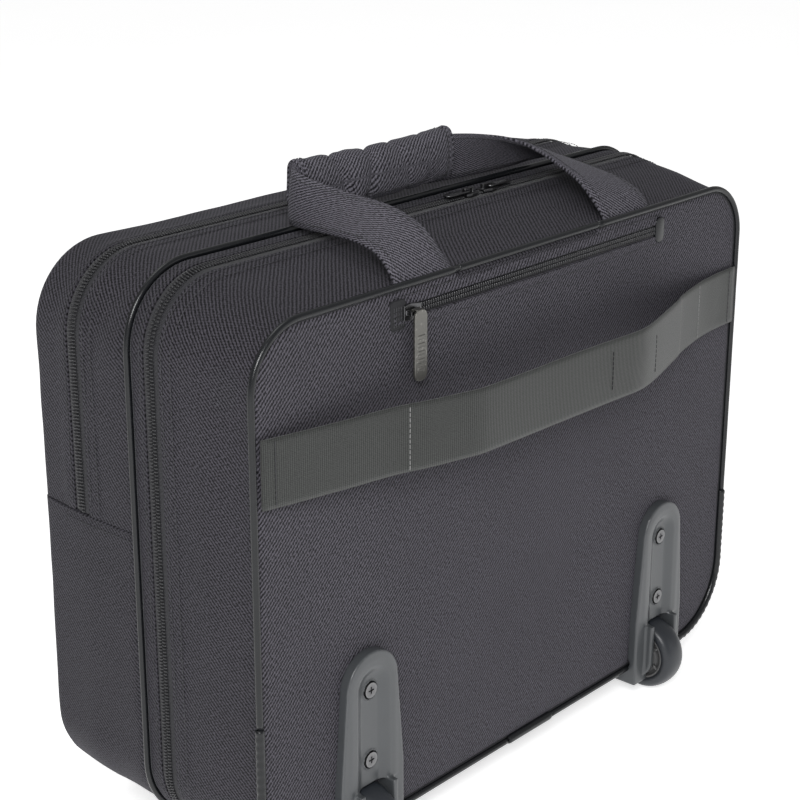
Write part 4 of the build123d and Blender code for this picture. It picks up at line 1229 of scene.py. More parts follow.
for i in range(n):
    free = math.sin(math.pi * min(max((s[i] - 20) / (s[-1] - 40), 0), 1)) ** 0.5 if 20 < s[i] < s[-1] - 20 else 0
    for t, h in loop:
        z = WZ0 + (WZ1 - WZ0) * t
        q = np.array([[path[i, 0] + 900, 0, z + 100]])
        w = (noise3(q, 70.0)[0] * 0.9 + noise3(q, 26.0)[0] * 0.25) * free
        cup = 0.9 * free * (4 * (t - 0.5) ** 2 - 0.4)
        x, y = path[i] + nrm[i] * (h - cup * 0.5 + w * 0.5)
        V.append((x, min(y, -1.1), z + 0.25 * free * noise3(q + 40, 45.0)[0]))
        UV.append((s[i] * MM, z * MM))
k = len(loop)
F = grid_faces(n, k, closed_m=True)
F.append(tuple(range(k)))
F.append(tuple(reversed(range((n - 1) * k, n * k))))
strap = orient_closed(mesh_obj("strap_band", V, F, UV, mat="webbing_strap"))
st_parts = [strap]


def strap_point(x, z, out=0.9):
    i = int(np.argmin(np.abs(path[:, 0] - x)))
    j = min(max(i, 1), n - 2)
    a = j if path[j, 0] <= x else j - 1
    t = (x - path[a, 0]) / (path[a + 1, 0] - path[a, 0])
    p = path[a] + (path[a + 1] - path[a]) * t
    return np.array([p[0] + nrm[a, 0] * out, p[1] + nrm[a, 1] * out, z]), np.array([nrm[a, 0], nrm[a, 1], 0.0])


def strap_stitches(x, z0, z1, mat, name, x1=None):
    pts = [strap_point(x + ((x1 - x) * t if x1 is not None else 0), z0 + (z1 - z0) * t, 0.95) for t in np.linspace(0, 1, 24)]
    return stitch_path(np.array([p for p, _ in pts]), np.array([q for _, q in pts]), 3.0, mat=mat, name=name)


for x in (-129.4, 168.5):
    st_parts.append(strap_stitches(x, WZ0 + 1.5, WZ1 - 1.5, "thread_light", f"sl{x}"))
for x in (-212.0, 212.0):
    st_parts.append(strap_stitches(x, WZ0 + 1.5, WZ1 - 1.5, "thread", f"se{x}"))
st_parts.append(strap_stitches(33.0, WZ0 + 8, WZ1 - 8, "seam_dark", "sc1"))
st_parts.append(strap_stitches(82.0, WZ0 + 6, WZ1 - 8, "seam_dark", "sc2"))
put(join("trolley_strap_webbing", st_parts), "root", "webbing", "trolley_strap")

# ---------------------------------------------------------------- back pocket zip
def rounded_rect(x0, x1, z0, z1, r, n=5):
    pts = []
    for cx, cz, a0 in ((x1 - r, z0 + r, -90), (x1 - r, z1 - r, 0), (x0 + r, z1 - r, 90), (x0 + r, z0 + r, 180)):
        for k in range(n + 1):
            a = math.radians(a0 + 90 * k / n)
            pts.append((cx + r * math.cos(a), cz + r * math.sin(a)))
    return pts


def slab(name, pts, y0, y1, mat, bevel=0.3, uvs=True):
    """Flat piece in x, z with its back face at y0 and far face at y1, edges softened."""
    V = [(x, y0, z) for x, z in pts] + [(x, y1, z) for x, z in pts]
    m = len(pts)
    F = [tuple(range(m)), tuple(reversed(range(m, 2 * m)))] + [(i, (i + 1) % m, m + (i + 1) % m, m + i) for i in range(m)]
    ob = mesh_obj(name, V, F, [(a * MM, c * MM) for a, b, c in V], mat=mat)
    orient_closed(ob)
    if bevel:
        b = ob.modifiers.new("b", "BEVEL")
        b.width = bevel * MM
        b.segments = 2
        b.limit_method = "ANGLE"
        apply_mods(ob)
        ob.data.polygons.foreach_set("use_smooth", [True] * len(ob.data.polygons))
    return ob


bz = [slab("bt1", rounded_rect(BZX0 + 0.3, BZX1 - 0.3, BZZ + 0.1, BZZ + 7.2, 0.5, 1), 0.5, 1.3, "zip_tape", 0.1),
      slab("bt2", rounded_rect(BZX0 + 0.3, BZX1 - 0.3, BZZ - 7.2, BZZ - 0.1, 0.5, 1), 0.5, 1.3, "zip_tape", 0.1)]
for sz in (1, -1):
    xs_ = np.arange(BZX0 + 7, BZX1 - 6, 1.95)
    pts = np.c_[xs_, np.full(len(xs_), 0.35), np.full(len(xs_), BZZ + sz * 1.35)]
    nor = np.tile([0, -1.0, 0], (len(pts), 1))
    TV, TF = TOOTH_R
    bz.append(stamp(f"bz{sz}", TV, TF, resample(pts, nor, 1.95), "coil", jitter=0.05, seed=5))
for zst, x0s, x1s in ((290.6, BZX0 - 2, BZX1 + 3), (308.6, -117.0, -66.5), (308.6, 66.5, 133.0)):
    xs_ = np.linspace(x0s, x1s, 60)
    P2 = np.c_[xs_, np.full(60, zst)]
    yy = panel_y(P2, min(H - zst, 22.0)) - 0.12
    bz.append(stitch_path(np.c_[xs_, yy, np.full(60, zst)], np.tile([0, -1.0, 0], (60, 1)), 3.2, name="bs"))
# closed ends: a stitched fabric garage at the slider's end, a rounded stop at the other
bz.append(slab("bg", rounded_rect(BZX0 - 3.5, BZX0 + 8.5, BZZ - 8.5, BZZ + 8.0, 2.5), -1.6, 0.4, "seam_dark", 0.5))
for k in range(5):
    xk = BZX0 - 1.2 + k * 1.9
    ln = np.c_[np.full(8, xk), np.full(8, -1.65), np.linspace(BZZ - 6.4, BZZ + 6.2, 8)]
    bz.append(stitch_path(ln, np.tile([0, -1.0, 0], (8, 1)), 2.9, name=f"bgs{k}"))
bz.append(slab("be", rounded_rect(BZX1 - 8.5, BZX1 + 0.5, BZZ - 8.0, BZZ + 8.0, 3.8), -1.5, 0.4, "piping_pvc", 0.5))
put(join("back_zip_assembly", bz), "root", "zip_tape", "back_zip")


# ---------------------------------------------------------------- moulded parts, softened from the CAD shape
def softened(node, name, voxel, smooth, mat, shape=None, merge=None):
    src = frame["nodes"][node]
    me = src.data.copy()
    me.materials.clear()
    me.materials.append(MATS[mat])
    ob = bpy.data.objects.new(name, me)
    scene.collection.objects.link(ob)
    r = ob.modifiers.new("r", "REMESH")
    r.mode = "VOXEL"
    r.voxel_size = voxel * MM
    sm = ob.modifiers.new("s", "SMOOTH")
    sm.factor = 0.5
    sm.iterations = smooth
    apply_mods(ob)
    if shape is not None:
        nv = len(ob.data.vertices)
        co = np.zeros(nv * 3)
        ob.data.vertices.foreach_get("co", co)
        co = co.reshape(-1, 3)
        loc = np.c_[(CX - co[:, 0]) / MM, (Y0 - co[:, 1]) / MM, (co[:, 2] - Z0) / MM]
        loc = shape(loc)
        ob.data.vertices.foreach_set("co", W(loc).ravel())
        ob.data.update()
    ob.data.polygons.foreach_set("use_smooth", [True] * len(ob.data.polygons))
    if not ob.data.materials:
        ob.data.materials.append(MATS[mat])
    return ob


def housing_shape(cx):
    def f(p):
        x, z = p[:, 0] - cx, p[:, 2]
        # distance inside the channel's outline
        hw = np.interp(z, [20, 90], [13.0, 12.5])
        d = np.where(z > 90, 12.5 - np.hypot(x, z - 90), hw - np.abs(x))
        front = (p[:, 1] < -4.0) & (p[:, 1] > -7.6) & (z > 27)
        t = np.clip((d + 1.5) / 8.0, 0, 1)
        t = t * t * (3 - 2 * t)
        inside = front & (d > -1.5)
        floor = -7.0 + 3.1 * t
        y = p[:, 1].copy()
        hole = np.minimum(np.hypot(x, z - 88), np.hypot(x, z - 44)) < 5.9
        y = np.where(inside & ~hole, np.minimum(floor, -3.2), y)
        # gentle crown of the outer rim
        rim = front & (d <= -1.5)
        y = np.where(rim, y - 0.25 * np.exp(-((d + 5.0) / 2.5) ** 2), y)
        q = p.copy()
        q[:, 1] = y
        return q
    return f


VOX = 0.75
for side, sx in (("left", -1), ("right", 1)):
    hs = softened(f"wheel_housing_{side}", f"wheel_bracket_{side}", VOX, 8, "plastic_grey", housing_shape(sx * 142.5))
    put(hs, "root", "housing_plastic", f"wheel_housing_{side}")


# wheels
def lathe(name, prof, cx, cy, cz, seg, mat):
    """Closed (x, radius) profile turned about an axis along x."""
    m = len(prof)
    V, UV = [], []
    L = np.r_[0, np.cumsum([math.dist(a, b) for a, b in zip(prof, prof[1:])])]
    for k in range(seg):
        a = 2 * math.pi * k / seg
        for (x, r), l in zip(prof, L):
            V.append((cx + x, cy + r * math.sin(a), cz + r * math.cos(a)))
            UV.append((a * 24 * MM, l * MM))
    ob = mesh_obj(name, V, grid_faces(seg, m, closed_n=True, closed_m=True), UV, mat=mat)
    return orient_closed(ob)


WY, WZ, WX = 1.0, 2.0, 142.5
for side, sx in (("left", -1), ("right", 1)):
    pr = [(-8.6, 17.0)]
    for a in np.linspace(-90, 90, 19):
        t = math.radians(a)
        pr.append((9.9 * math.sin(t) * (1 - 0.06 * math.cos(t)), 19.0 + 6.0 * math.cos(t) ** 0.62))
    pr.append((8.6, 17.0))
    pr = [(x, min(r, 24.98)) for x, r in pr]
    ty = lathe(f"tyre_{side}", pr, sx * WX, WY, WZ, 72, "rubber_tyre")
    put(ty, f"wheel_{side}", "tyre", f"wheel_tyre_{side}")
    hub = [(-9.0, 8.1), (-9.0, 10.2), (-8.2, 10.8), (-6.6, 11.4), (-6.4, 14.4), (-7.4, 15.2), (-8.5, 15.6), (-8.5, 17.0),
           (8.5, 17.0), (8.5, 15.6), (7.4, 15.2), (6.4, 14.4), (6.6, 11.4), (8.2, 10.8), (9.0, 10.2), (9.0, 8.1)]
    hb = [lathe(f"hubr_{side}", hub, sx * WX, WY, WZ, 48, "hub_plastic")]
    for k in range(6):
        a = math.radians(60 * k)
        for e in (-1, 1):
            pts = np.array([[sx * WX + e * 7.2, WY + r * math.sin(a), WZ + r * math.cos(a)] for r in (10.4, 12.5, 15.6)])
            perp = np.tile([0, math.cos(a), -math.sin(a)], (3, 1))
            hb.append(tube(f"rib_{side}{k}{e}", pts, perp, np.tile([1.0, 0, 0], (3, 1)), 1.0, 1.1, 8, False, "hub_plastic"))
    put(join(f"hub_{side}", hb), f"wheel_{side}", "hub", f"wheel_hub_{side}")


# ---------------------------------------------------------------- carry handle
def ribbon(name, st, n, thick, mat, cols=9, stitch_in=5.0):
    st = np.asarray([np.r_[p, q] for p, q in st], float)
    C = catmull(st, n)
    p, q = C[:, :3].copy(), C[:, 3:].copy()
    p[:, 2] += H
    q[:, 2] += H
    m = len(C)
    w = np.linalg.norm(q - p, axis=1)
    u = (q - p) / w[:, None]
    mid_ = (p + q) / 2
    t = np.gradient(mid_, axis=0)
    t /= np.linalg.norm(t, axis=1)[:, None]
    nn = np.cross(u, t)
    nn /= np.linalg.norm(nn, axis=1)[:, None]
    s_ = np.r_[0, np.cumsum(np.linalg.norm(np.diff(mid_, axis=0), axis=1))]
    tt = np.linspace(0, 1, cols)
    ring, UV = [], []
    sec = [(a, thick / 2 * (1 - 0.45 * math.exp(-min(a, 1 - a) * 48 / 1.3))) for a in tt]
    lp = sec + [(a, -h) for a, h in reversed(sec)]
    V = []
    for i in range(m):
        for a, h in lp:
            c = p[i] + (q[i] - p[i]) * a
            wob = noise3((c + 333)[None, :], 30.0)[0] * 0.5 + noise3((c + 111)[None, :], 11.0)[0] * 0.14
            mid_b = 0.5 * math.sin(math.pi * a)
            V.append(c + nn[i] * (h + (wob + mid_b) * min(1.0, s_[i] / 14.0)))
            UV.append((a * 0.048, s_[i] * MM))
    k = len(lp)
    F = grid_faces(m, k, closed_m=True)
    F.append(tuple(range(k)))
    F.append(tuple(reversed(range((m - 1) * k, m * k))))
    ob = orient_closed(mesh_obj(name, V, F, UV, mat=mat))
    out = [ob]
    for a in (stitch_in / 48, 1 - stitch_in / 48):
        for sgn in (1, -1):
            c = p + (q - p) * a
            wob = noise3(c + 333, 30.0) * 0.5 + noise3(c + 111, 11.0) * 0.14
            off = sgn * thick / 2 + (wob + 0.5 * math.sin(math.pi * a)) * np.minimum(1.0, s_ / 14.0)
            out.append(stitch_path(c + nn * off[:, None], nn * sgn, 3.2, name=f"{name}_s{a:.1f}{sgn}"))
    return join(name, out)


left_st = [((-113.5, 2.0, 0.6), (-66.8, 2.0, 0.6)), ((-113.5, 5.5, 6.0), (-67.0, 6.7, 5.0)), ((-113.5, 11.0, 13.0), (-70.0, 10.0, 11.5)),
           ((-113.0, 20.0, 18.0), (-77.0, 16.9, 25.0)), ((-113.0, 35.5, 20.6), (-88.0, 28.9, 36.0)), ((-112.2, 56.0, 20.6), (-98.0, 49.2, 41.5)),
           ((-111.5, 72.0, 20.4), (-104.0, 68.0, 46.0)), ((-109.5, 82.0, 20.2), (-106.0, 80.0, 49.0)), ((-103.5, 89.5, 20.2), (-102.5, 88.0, 50.5)),
           ((-93.0, 91.6, 20.6), (-93.0, 91.2, 51.0)), ((-80.0, 91.8, 21.0), (-80.0, 91.2, 51.0))]
right_st = [((75.5, 2.0, 0.6), (122.0, 2.0, 0.6)), ((75.5, 5.8, 6.0), (122.0, 6.2, 6.0)), ((75.5, 13.2, 14.0), (122.0, 13.0, 11.5)),
            ((77.0, 24.8, 23.0), (122.5, 27.2, 16.5)), ((80.0, 40.0, 28.6), (122.3, 47.5, 20.0)), ((82.5, 55.0, 33.6), (121.4, 65.0, 22.6)),
            ((82.5, 69.0, 38.0), (119.0, 79.0, 23.6)), ((77.0, 81.0, 41.5), (111.0, 88.0, 21.6)), ((64.0, 88.5, 44.5), (96.0, 91.5, 19.5)),
            ((48.0, 91.2, 47.0), (70.0, 92.6, 19.0)), ((31.0, 91.6, 49.0), (38.0, 92.6, 20.0)), ((14.0, 91.6, 50.0), (16.0, 92.4, 21.0))]
for nm, st in (("left", left_st), ("right", right_st)):
    rb = ribbon(f"carry_handle_strap_{nm}", st, 5, 3.0, "twill_handle")
    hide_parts(f"carry_strap_{nm}")
    a = np.array([[st[1][0][0], 2.2, H + 1.0], [st[1][0][0], 15.0, H + 15.0]])
    a = W(a)
    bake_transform(rb)

CW_LO, CW_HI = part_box("carry_wrap")
wx0, wx1 = -100.0, 32.0
wy, wz = 91.0, (CW_LO.z + CW_HI.z) / 2 / MM - Z0 / MM


def wrap_section(th, x, puff):
    """Cross-section of the padded grip: a tall soft bar with its two layers stitched together below."""
    c, s2 = math.cos(th), math.sin(th)
    hy, hz = 7.1 + puff, 16.9 + puff * 0.5
    e = 0.72
    y = hy * math.copysign(abs(c) ** e, c)
    z = hz * math.copysign(abs(s2) ** e, s2)
    if s2 < -0.2:                       # narrows to the stitched lower edge
        y *= 1 - 0.50 * ((-s2 - 0.2) / 0.8) ** 1.4
    return y, z


seg, rows = 36, 46
V, UV = [], []
xs2 = np.r_[wx0, np.linspace(wx0 + 1.2, wx1 - 1.2, rows - 2), wx1]
for i, x in enumerate(xs2):
    e = min(x - wx0, wx1 - x)
    puff = 1.0 * (1 - math.exp(-e / 9.0)) - 0.5
    lean = 1.2 * math.sin((x - wx0) / 132 * math.pi)
    for k in range(seg):
        th = 2 * math.pi * k / seg
        y, z = wrap_section(th, x, puff)
        V.append((x, wy + y + lean * z / 17.0 * 0.6, wz + z))
        UV.append((x * MM, th * 13 * MM))
c0, c1 = len(V), len(V) + 1
V += [(wx0 + 0.4, wy, wz), (wx1 - 0.4, wy, wz)]
UV += [(0, 0), (0, 0)]
F = grid_faces(rows, seg, closed_m=True)
F += [(c0, (k + 1) % seg, k) for k in range(seg)]
F += [(c1, (rows - 1) * seg + k, (rows - 1) * seg + (k + 1) % seg) for k in range(seg)]
wrap = orient_closed(mesh_obj("carry_grip_body", V, F, UV, mat="twill_handle"))


def puff_cloth(ob, voxel, frames, pressure, cap, pins=None, seed_w=None):
    """Voxel remesh, a short cloth run with inside pressure, and a capped result."""
    r = ob.modifiers.new("r", "REMESH")
    r.mode = "VOXEL"
    r.voxel_size = voxel * MM
    apply_mods(ob)
    nv = len(ob.data.vertices)
    rest = np.zeros(nv * 3)
    ob.data.vertices.foreach_get("co", rest)
    rest = rest.reshape(-1, 3)
    loc = np.c_[(CX - rest[:, 0]) / MM, (Y0 - rest[:, 1]) / MM, (rest[:, 2] - Z0) / MM]
    g = ob.vertex_groups.new(name="pin")
    if pins is not None:
        w = np.clip(pins(loc), 0, 1)
        for i in np.nonzero(w > 0.02)[0]:
            g.add([int(i)], float(w[i]), "REPLACE")
    m = ob.modifiers.new("c", "CLOTH")
    st = m.settings
    st.quality = 6
    st.mass = 0.25
    st.tension_stiffness = 14
    st.compression_stiffness = 6
    st.shear_stiffness = 4
    st.bending_stiffness = 0.35
    st.use_pressure = True
    st.uniform_pressure_force = pressure
    st.effector_weights.gravity = 0
    if pins is not None:
        st.vertex_group_mass = "pin"
    st.shrink_min = -0.04
    m.collision_settings.use_collision = False
    m.point_cache.frame_start = 1
    m.point_cache.frame_end = frames
    for fr in range(1, frames + 1):
        scene.frame_set(fr)
    apply_mods(ob)
    new = np.zeros(nv * 3)
    ob.data.vertices.foreach_get("co", new)
    new = new.reshape(-1, 3)
    d = new - rest
    ln = np.linalg.norm(d, axis=1)
    k = np.minimum(1.0, cap * MM / np.maximum(ln, 1e-9))
    ob.data.vertices.foreach_set("co", (rest + d * k[:, None]).ravel())
    scene.frame_set(1)
    sm = ob.modifiers.new("sm", "SMOOTH")
    sm.factor = 0.5
    sm.iterations = 3
    ss = ob.modifiers.new("ss", "SUBSURF")
    ss.levels = ss.render_levels = 1
    apply_mods(ob)
    ob.data.polygons.foreach_set("use_smooth", [True] * len(ob.data.polygons))
    return ob


def uv_project(ob, fn):
    me = ob.data
    nv = len(me.vertices)
    co = np.zeros(nv * 3)
    me.vertices.foreach_get("co", co)
    co = co.reshape(-1, 3)
    loc = np.c_[(CX - co[:, 0]) / MM, (Y0 - co[:, 1]) / MM, (co[:, 2] - Z0) / MM]
    uv = fn(loc)
    layer = me.uv_layers.get("UVMap") or me.uv_layers.new(name="UVMap")
    idx = np.zeros(len(me.loops), int)
    me.loops.foreach_get("vertex_index", idx)
    layer.data.foreach_set("uv", uv[idx].astype(np.float32).ravel())


def nudge(ob, fn):
    me = ob.data
    nv = len(me.vertices)
    co = np.zeros(nv * 3)
    me.vertices.foreach_get("co", co)
    co = co.reshape(-1, 3)
    no = np.zeros(nv * 3)
    me.vertices.foreach_get("normal", no)
    no = no.reshape(-1, 3)
    loc = np.c_[(CX - co[:, 0]) / MM, (Y0 - co[:, 1]) / MM, (co[:, 2] - Z0) / MM]
    d = fn(loc)
    me.vertices.foreach_set("co", (co + no * d[:, None] * MM).ravel())
    me.update()


def wrap_pins(loc):
    e = np.minimum(loc[:, 0] - wx0, wx1 - loc[:, 0])
    low = np.clip((wz - 13.5 - loc[:, 2]) / 2.5, 0, 1)
    return np.maximum(np.clip(1 - (e - 1.0) / 3.0, 0, 1), low)


puff_cloth(wrap, 2.6, 16, 3.0, 2.2, wrap_pins)
nudge(wrap, lambda q: noise3(q + 77, 24.0) * 0.6 + noise3(q + 10, 9.0) * 0.2
      - 2.6 * np.exp(-((q[:, 0] + 66 + (q[:, 2] - wz) * 0.25) / 3.4) ** 2) - 2.2 * np.exp(-((q[:, 0] + 43 - (q[:, 2] - wz) * 0.2) / 3.0) ** 2)
      + 1.0 * np.exp(-((q[:, 0] + 54) / 5.0) ** 2) - 1.2 * np.exp(-((q[:, 0] + 14 + (q[:, 2] - wz) * 0.35) / 2.8) ** 2)
      - 0.9 * np.exp(-((q[:, 0] - 8) / 2.4) ** 2))
uv_project(wrap, lambda q: np.c_[q[:, 0] * MM, np.arctan2(q[:, 2] - wz, (q[:, 1] - wy) * 2.0) * 15 * MM])
wrap.data.materials.clear()
wrap.data.materials.append(MATS["twill_handle"])


from mathutils.bvhtree import BVHTree

_bm = bmesh.new()
_bm.from_mesh(wrap.data)
WRAP_TREE = BVHTree.FromBMesh(_bm)
_bm.free()


def on_wrap(p, direction, grow=0.0):
    """The point on the finished grip that is seen along direction from inside, at local p."""
    o = Vector(W(np.array([p]))[0])
    d = Vector((-direction[0], -direction[1], direction[2])).normalized()
    hit = WRAP_TREE.ray_cast(o, d, 0.05)
    if hit[0] is None:
        return None
    h = hit[0] + d * grow * MM
    return ((CX - h.x) / MM, (Y0 - h.y) / MM, (h.z - Z0) / MM)


def wrap_loop(x, grow=0.0):
    a, b = [], []
    for k in range(56):
        th = 2 * math.pi * k / 56
        y, z = wrap_section(th, x, 0.5)
        d = np.array([0, y, z]) / math.hypot(y, z)
        p = on_wrap((x, wy, wz), d, grow)
        if p is None:
            continue
        a.append(p)
        b.append(d)
    return np.array(a), np.array(b)


wp = [wrap]
# hems at both ends: a rolled edge and its stitching, and the seam line along the bottom
for x, sgn in ((wx0 + 2.6, 1), (wx1 - 2.6, -1)):
    a, b = wrap_loop(x, -0.2)
    wp.append(tube(f"hem{x}", a, b, np.tile([1.0, 0, 0], (len(a), 1)), 1.0, 2.2, 8, True, "twill_handle"))
    a, b = wrap_loop(x + sgn * 4.4, 0.15)
    wp.append(stitch_path(a, b, 3.1, closed=True, name=f"hs{x}"))
for yy in (-1, 1):
    xs_ = np.linspace(wx0 + 3, wx1 - 3, 60)
    line = [on_wrap((x, wy, wz - 11.5), (0, yy, 0), 0.12) for x in xs_]
    line = np.array([p for p in line if p is not None])
    xs_ = line[:, 0]
    wp.append(stitch_path(line, np.tile([0, yy * 0.95, -0.3], (len(line), 1)), 3.2, name=f"wl{yy}"))
grip = join("carry_handle_grip", wp)
grip["note"] = "padded"
put(grip, "carry_handle", "handle_fabric", "carry_wrap", "carry_core")


# ---------------------------------------------------------------- inside
def pad(name, x0, x1, y0, y1, z0, z1, r, mat, n=14, crown=1.0, quilt=0.0, notch=None):
    """Thin cushion standing in x, z: rounded corners, faces crowned between the seams, edges drawn in."""
    yc, h = (y0 + y1) / 2, (y1 - y0) / 2
    xcs, zcs = (x0 + x1) / 2, (z0 + z1) / 2
    hx, hz = (x1 - x0) / 2, (z1 - z0) / 2

    def rr(d, k=26):
        a = max(min(r, hx, hz) - d, 1.0)
        hx2, hz2 = hx - d, hz - d
        out = []
        for cx, cz, a0 in ((hx2 - a, -(hz2 - a), -90), (hx2 - a, hz2 - a, 0), (-(hx2 - a), hz2 - a, 90), (-(hx2 - a), -(hz2 - a), 180)):
            for j in range(k // 2):
                t = math.radians(a0 + 90 * j / (k // 2 - 1))
                out.append((cx + a * math.cos(t), cz + a * math.sin(t)))
        # fill the straight runs
        full = []
        for p, q in zip(out, out[1:] + out[:1]):
            full.append(p)
            L_ = math.dist(p, q)
            if L_ > 8 and full:
                m_ = 12
                for j in range(1, m_):
                    full.append((p[0] + (q[0] - p[0]) * j / m_, p[1] + (q[1] - p[1]) * j / m_))
        return full

    base_ring = rr(0.0)
    m = len(base_ring)
    ds = [0.0, 0.8, 2.2, 5.0] + list(np.linspace(9.0, min(hx, hz) * 0.93, n))
    V, UV = [], []
    for sgn in (1, -1):
        for d in (ds if sgn > 0 else ds[1:]):
            f = 1 - d / min(hx, hz)
            for x, z in base_ring:
                # draw the ring in towards the middle line
                if hx > hz:
                    X, Z = math.copysign(max(abs(x) - d, hx - hz), x) if abs(x) > hx - hz else x, z * f
                else:
                    X, Z = x * f, math.copysign(max(abs(z) - d, hz - hx), z) if abs(z) > hz - hx else z
                full_ = 1 - math.exp(-d / 3.5)
                y = yc + sgn * (h * (0.25 + 0.75 * full_) * crown)
                q = np.array([[X + 600 + 40 * sgn, y, Z + 600]])
                y += sgn * noise3(q, 40.0)[0] * 0.35 * full_ * h / 2.5
                if quilt:
                    y -= sgn * h * 0.35 * math.exp(-((((X + 4000) % quilt) - quilt / 2) / 1.6) ** 2) * full_
                y = min(max(y, y0), y1)
                V.append((X + xcs, y, Z + zcs))
                UV.append(((X + xcs) * MM, (Z + zcs) * MM))
    a_, b_ = len(ds), len(ds) - 1
    F = grid_faces(a_, m, closed_m=True)
    base = a_ * m
    second = [list(range(m))] + [list(range(base + i * m, base + (i + 1) * m)) for i in range(b_)]
    for i in range(len(second) - 1):
        for j in range(m):
            F.append((second[i][j], second[i + 1][j], second[i + 1][(j + 1) % m], second[i][(j + 1) % m]))
    F.append(tuple(range((a_ - 1) * m, a_ * m)))
    F.append(tuple(second[-1]))
    ob = mesh_obj(name, V, F, UV, mat=mat)
    bm = bmesh.new()
    bm.from_mesh(ob.data)
    bmesh.ops.remove_doubles(bm, verts=bm.verts, dist=1e-5)
    bmesh.ops.triangulate(bm, faces=[f for f in bm.faces if len(f.verts) > 4])
    bm.to_mesh(ob.data)
    bm.free()
    return orient_closed(ob)


def cad_slab(node, name, mat, bevel=0.5, body=None, slot_name=None, seg=2):
    """A board or stiff panel kept to its CAD shape, with softened edges."""
    me = frame["nodes"][node].data.copy()
    me.materials.clear()
    me.materials.append(MATS[mat])
    ob = bpy.data.objects.new(name, me)
    scene.collection.objects.link(ob)
    bm = bmesh.new()
    bm.from_mesh(me)
    bmesh.ops.remove_doubles(bm, verts=bm.verts, dist=1e-6)
    bmesh.ops.dissolve_limit(bm, angle_limit=math.radians(1), verts=bm.verts, edges=bm.edges)
    bm.to_mesh(me)
    bm.free()
    b = ob.modifiers.new("b", "BEVEL")
    b.width = bevel * MM
    b.segments = seg
    b.limit_method = "ANGLE"
    b.angle_limit = math.radians(40)
    apply_mods(ob)
    bm = bmesh.new()
    bm.from_mesh(ob.data)
    bmesh.ops.triangulate(bm, faces=[f for f in bm.faces if len(f.verts) > 4])
    bm.to_mesh(ob.data)
    bm.free()
    uv_project(ob, lambda q: np.c_[q[:, 0] * MM, (q[:, 2] + q[:, 1]) * MM])
    ob.data.polygons.foreach_set("use_smooth", [False] * len(ob.data.polygons))
    return ob


def nb(node):
    lo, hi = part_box(node)
    return (CX - hi.x) / MM, (CX - lo.x) / MM, (Y0 - hi.y) / MM, (Y0 - lo.y) / MM, (lo.z - Z0) / MM, (hi.z - Z0) / MM


x0, x1, y0, y1, z0, z1 = nb("laptop_back_foam")
lbf = pad("laptop_back_cushion", x0, x1, y0, y1, z0, z1, 10, "lining_cloth", quilt=86.0)
put(lbf, "root", "foam", "laptop_back_foam")
x0, x1, y0, y1, z0, z1 = nb("laptop_pad")
lp = [pad("lp_face", x0 + 0.5, x1 - 0.5, 58.0, 62.2, z0, z1, 18, "lining_cloth", quilt=90.0)]
for sx in (-1, 1):
    a, b = sorted((sx * 176.2, sx * 179.8))
    lp.append(slab(f"lp_side{sx}", [(a, z0 + 1), (b, z0 + 1), (b, z1 - 22), (a, z1 - 22)], 36.4, 58.8, "lining_cloth", 1.0))
a = np.array([[sx_, 59.9, z] for sx_, z in [(x0 + 1, z0 + 6)] + [(x0 + 1, z) for z in np.linspace(z0 + 20, z1 - 18, 12)] + [(x0 + 19 - 18 * math.cos(t), z1 - 19 + 18 * math.sin(t)) for t in np.linspace(0.1, 1.5, 6)] + [(x, z1 - 1) for x in np.linspace(x0 + 22, x1 - 22, 30)] + [(x1 - 19 + 18 * math.sin(t), z1 - 19 + 18 * math.cos(t)) for t in np.linspace(0.1, 1.5, 6)] + [(x1 - 1, z) for z in np.linspace(z1 - 18, z0 + 20, 12)] + [(x1 - 1, z0 + 6)]])
tn = np.gradient(a, axis=0)
tn /= np.linalg.norm(tn, axis=1)[:, None]
nr = np.c_[-tn[:, 2], np.zeros(len(a)), tn[:, 0]]
lp.append(tube("lp_bind", a, nr, np.tile(YD, (len(a), 1)), 1.5, 2.1, 10, False, "webbing_strap"))
lp = join("laptop_pad_cushion", lp)
put(lp, "root", "foam", "laptop_pad")
hold = cad_slab("laptop_hold_strap", "laptop_hold_band", "webbing_strap", 0.4)
put(hold, "root", "webbing", "laptop_hold_strap")
x0, x1, y0, y1, z0, z1 = nb("rear_liner")


def plain_rings(y_ref, y_at, d0, mat, name, amp=0.5, thick=1.2, direction=(0, 1, 0)):
    def yf(P, d):
        q = np.c_[P[:, 0], np.zeros(len(P)), P[:, 1]] + 900
        return y_at + noise3(q, 60.0) * amp * min(1.0, d / 14.0)
    ds = [d0, d0 + 1, d0 + 4, d0 + 10] + list(np.arange(d0 + 20, 148, 12)) + [155.0]
    return face_rings(yf, ds, y_ref, mat, name, None, direction, thick)


liner = plain_rings(35.0, 35.9, 3.2, "lining_cloth", "rear_liner_cloth", 0.35, 1.2, (0, -1, 0))
put(liner, "root", "lining", "rear_liner")
put(cad_slab("base_board", "base_board_stiffener", "board_hdpe", 0.6), "root", "board", "base_board")
div = plain_rings(87.0, 88.4, 1.0, "lining_cloth", "divider_cloth", 0.3, 2.0, (0, -1, 0))
put(div, "front_section", "lining", "divider_panel")
orgp = cad_slab("organiser_panel", "organiser_panel_cloth", "lining_cloth", 0.5)
put(orgp, "front_section", "lining", "organiser_panel")


def pocket(name, x0, x1, z0, z1, y0, y1, mat):
    p = pad(name, x0, x1, y0, y1, z0, z1, 4, mat, n=6)
    return p


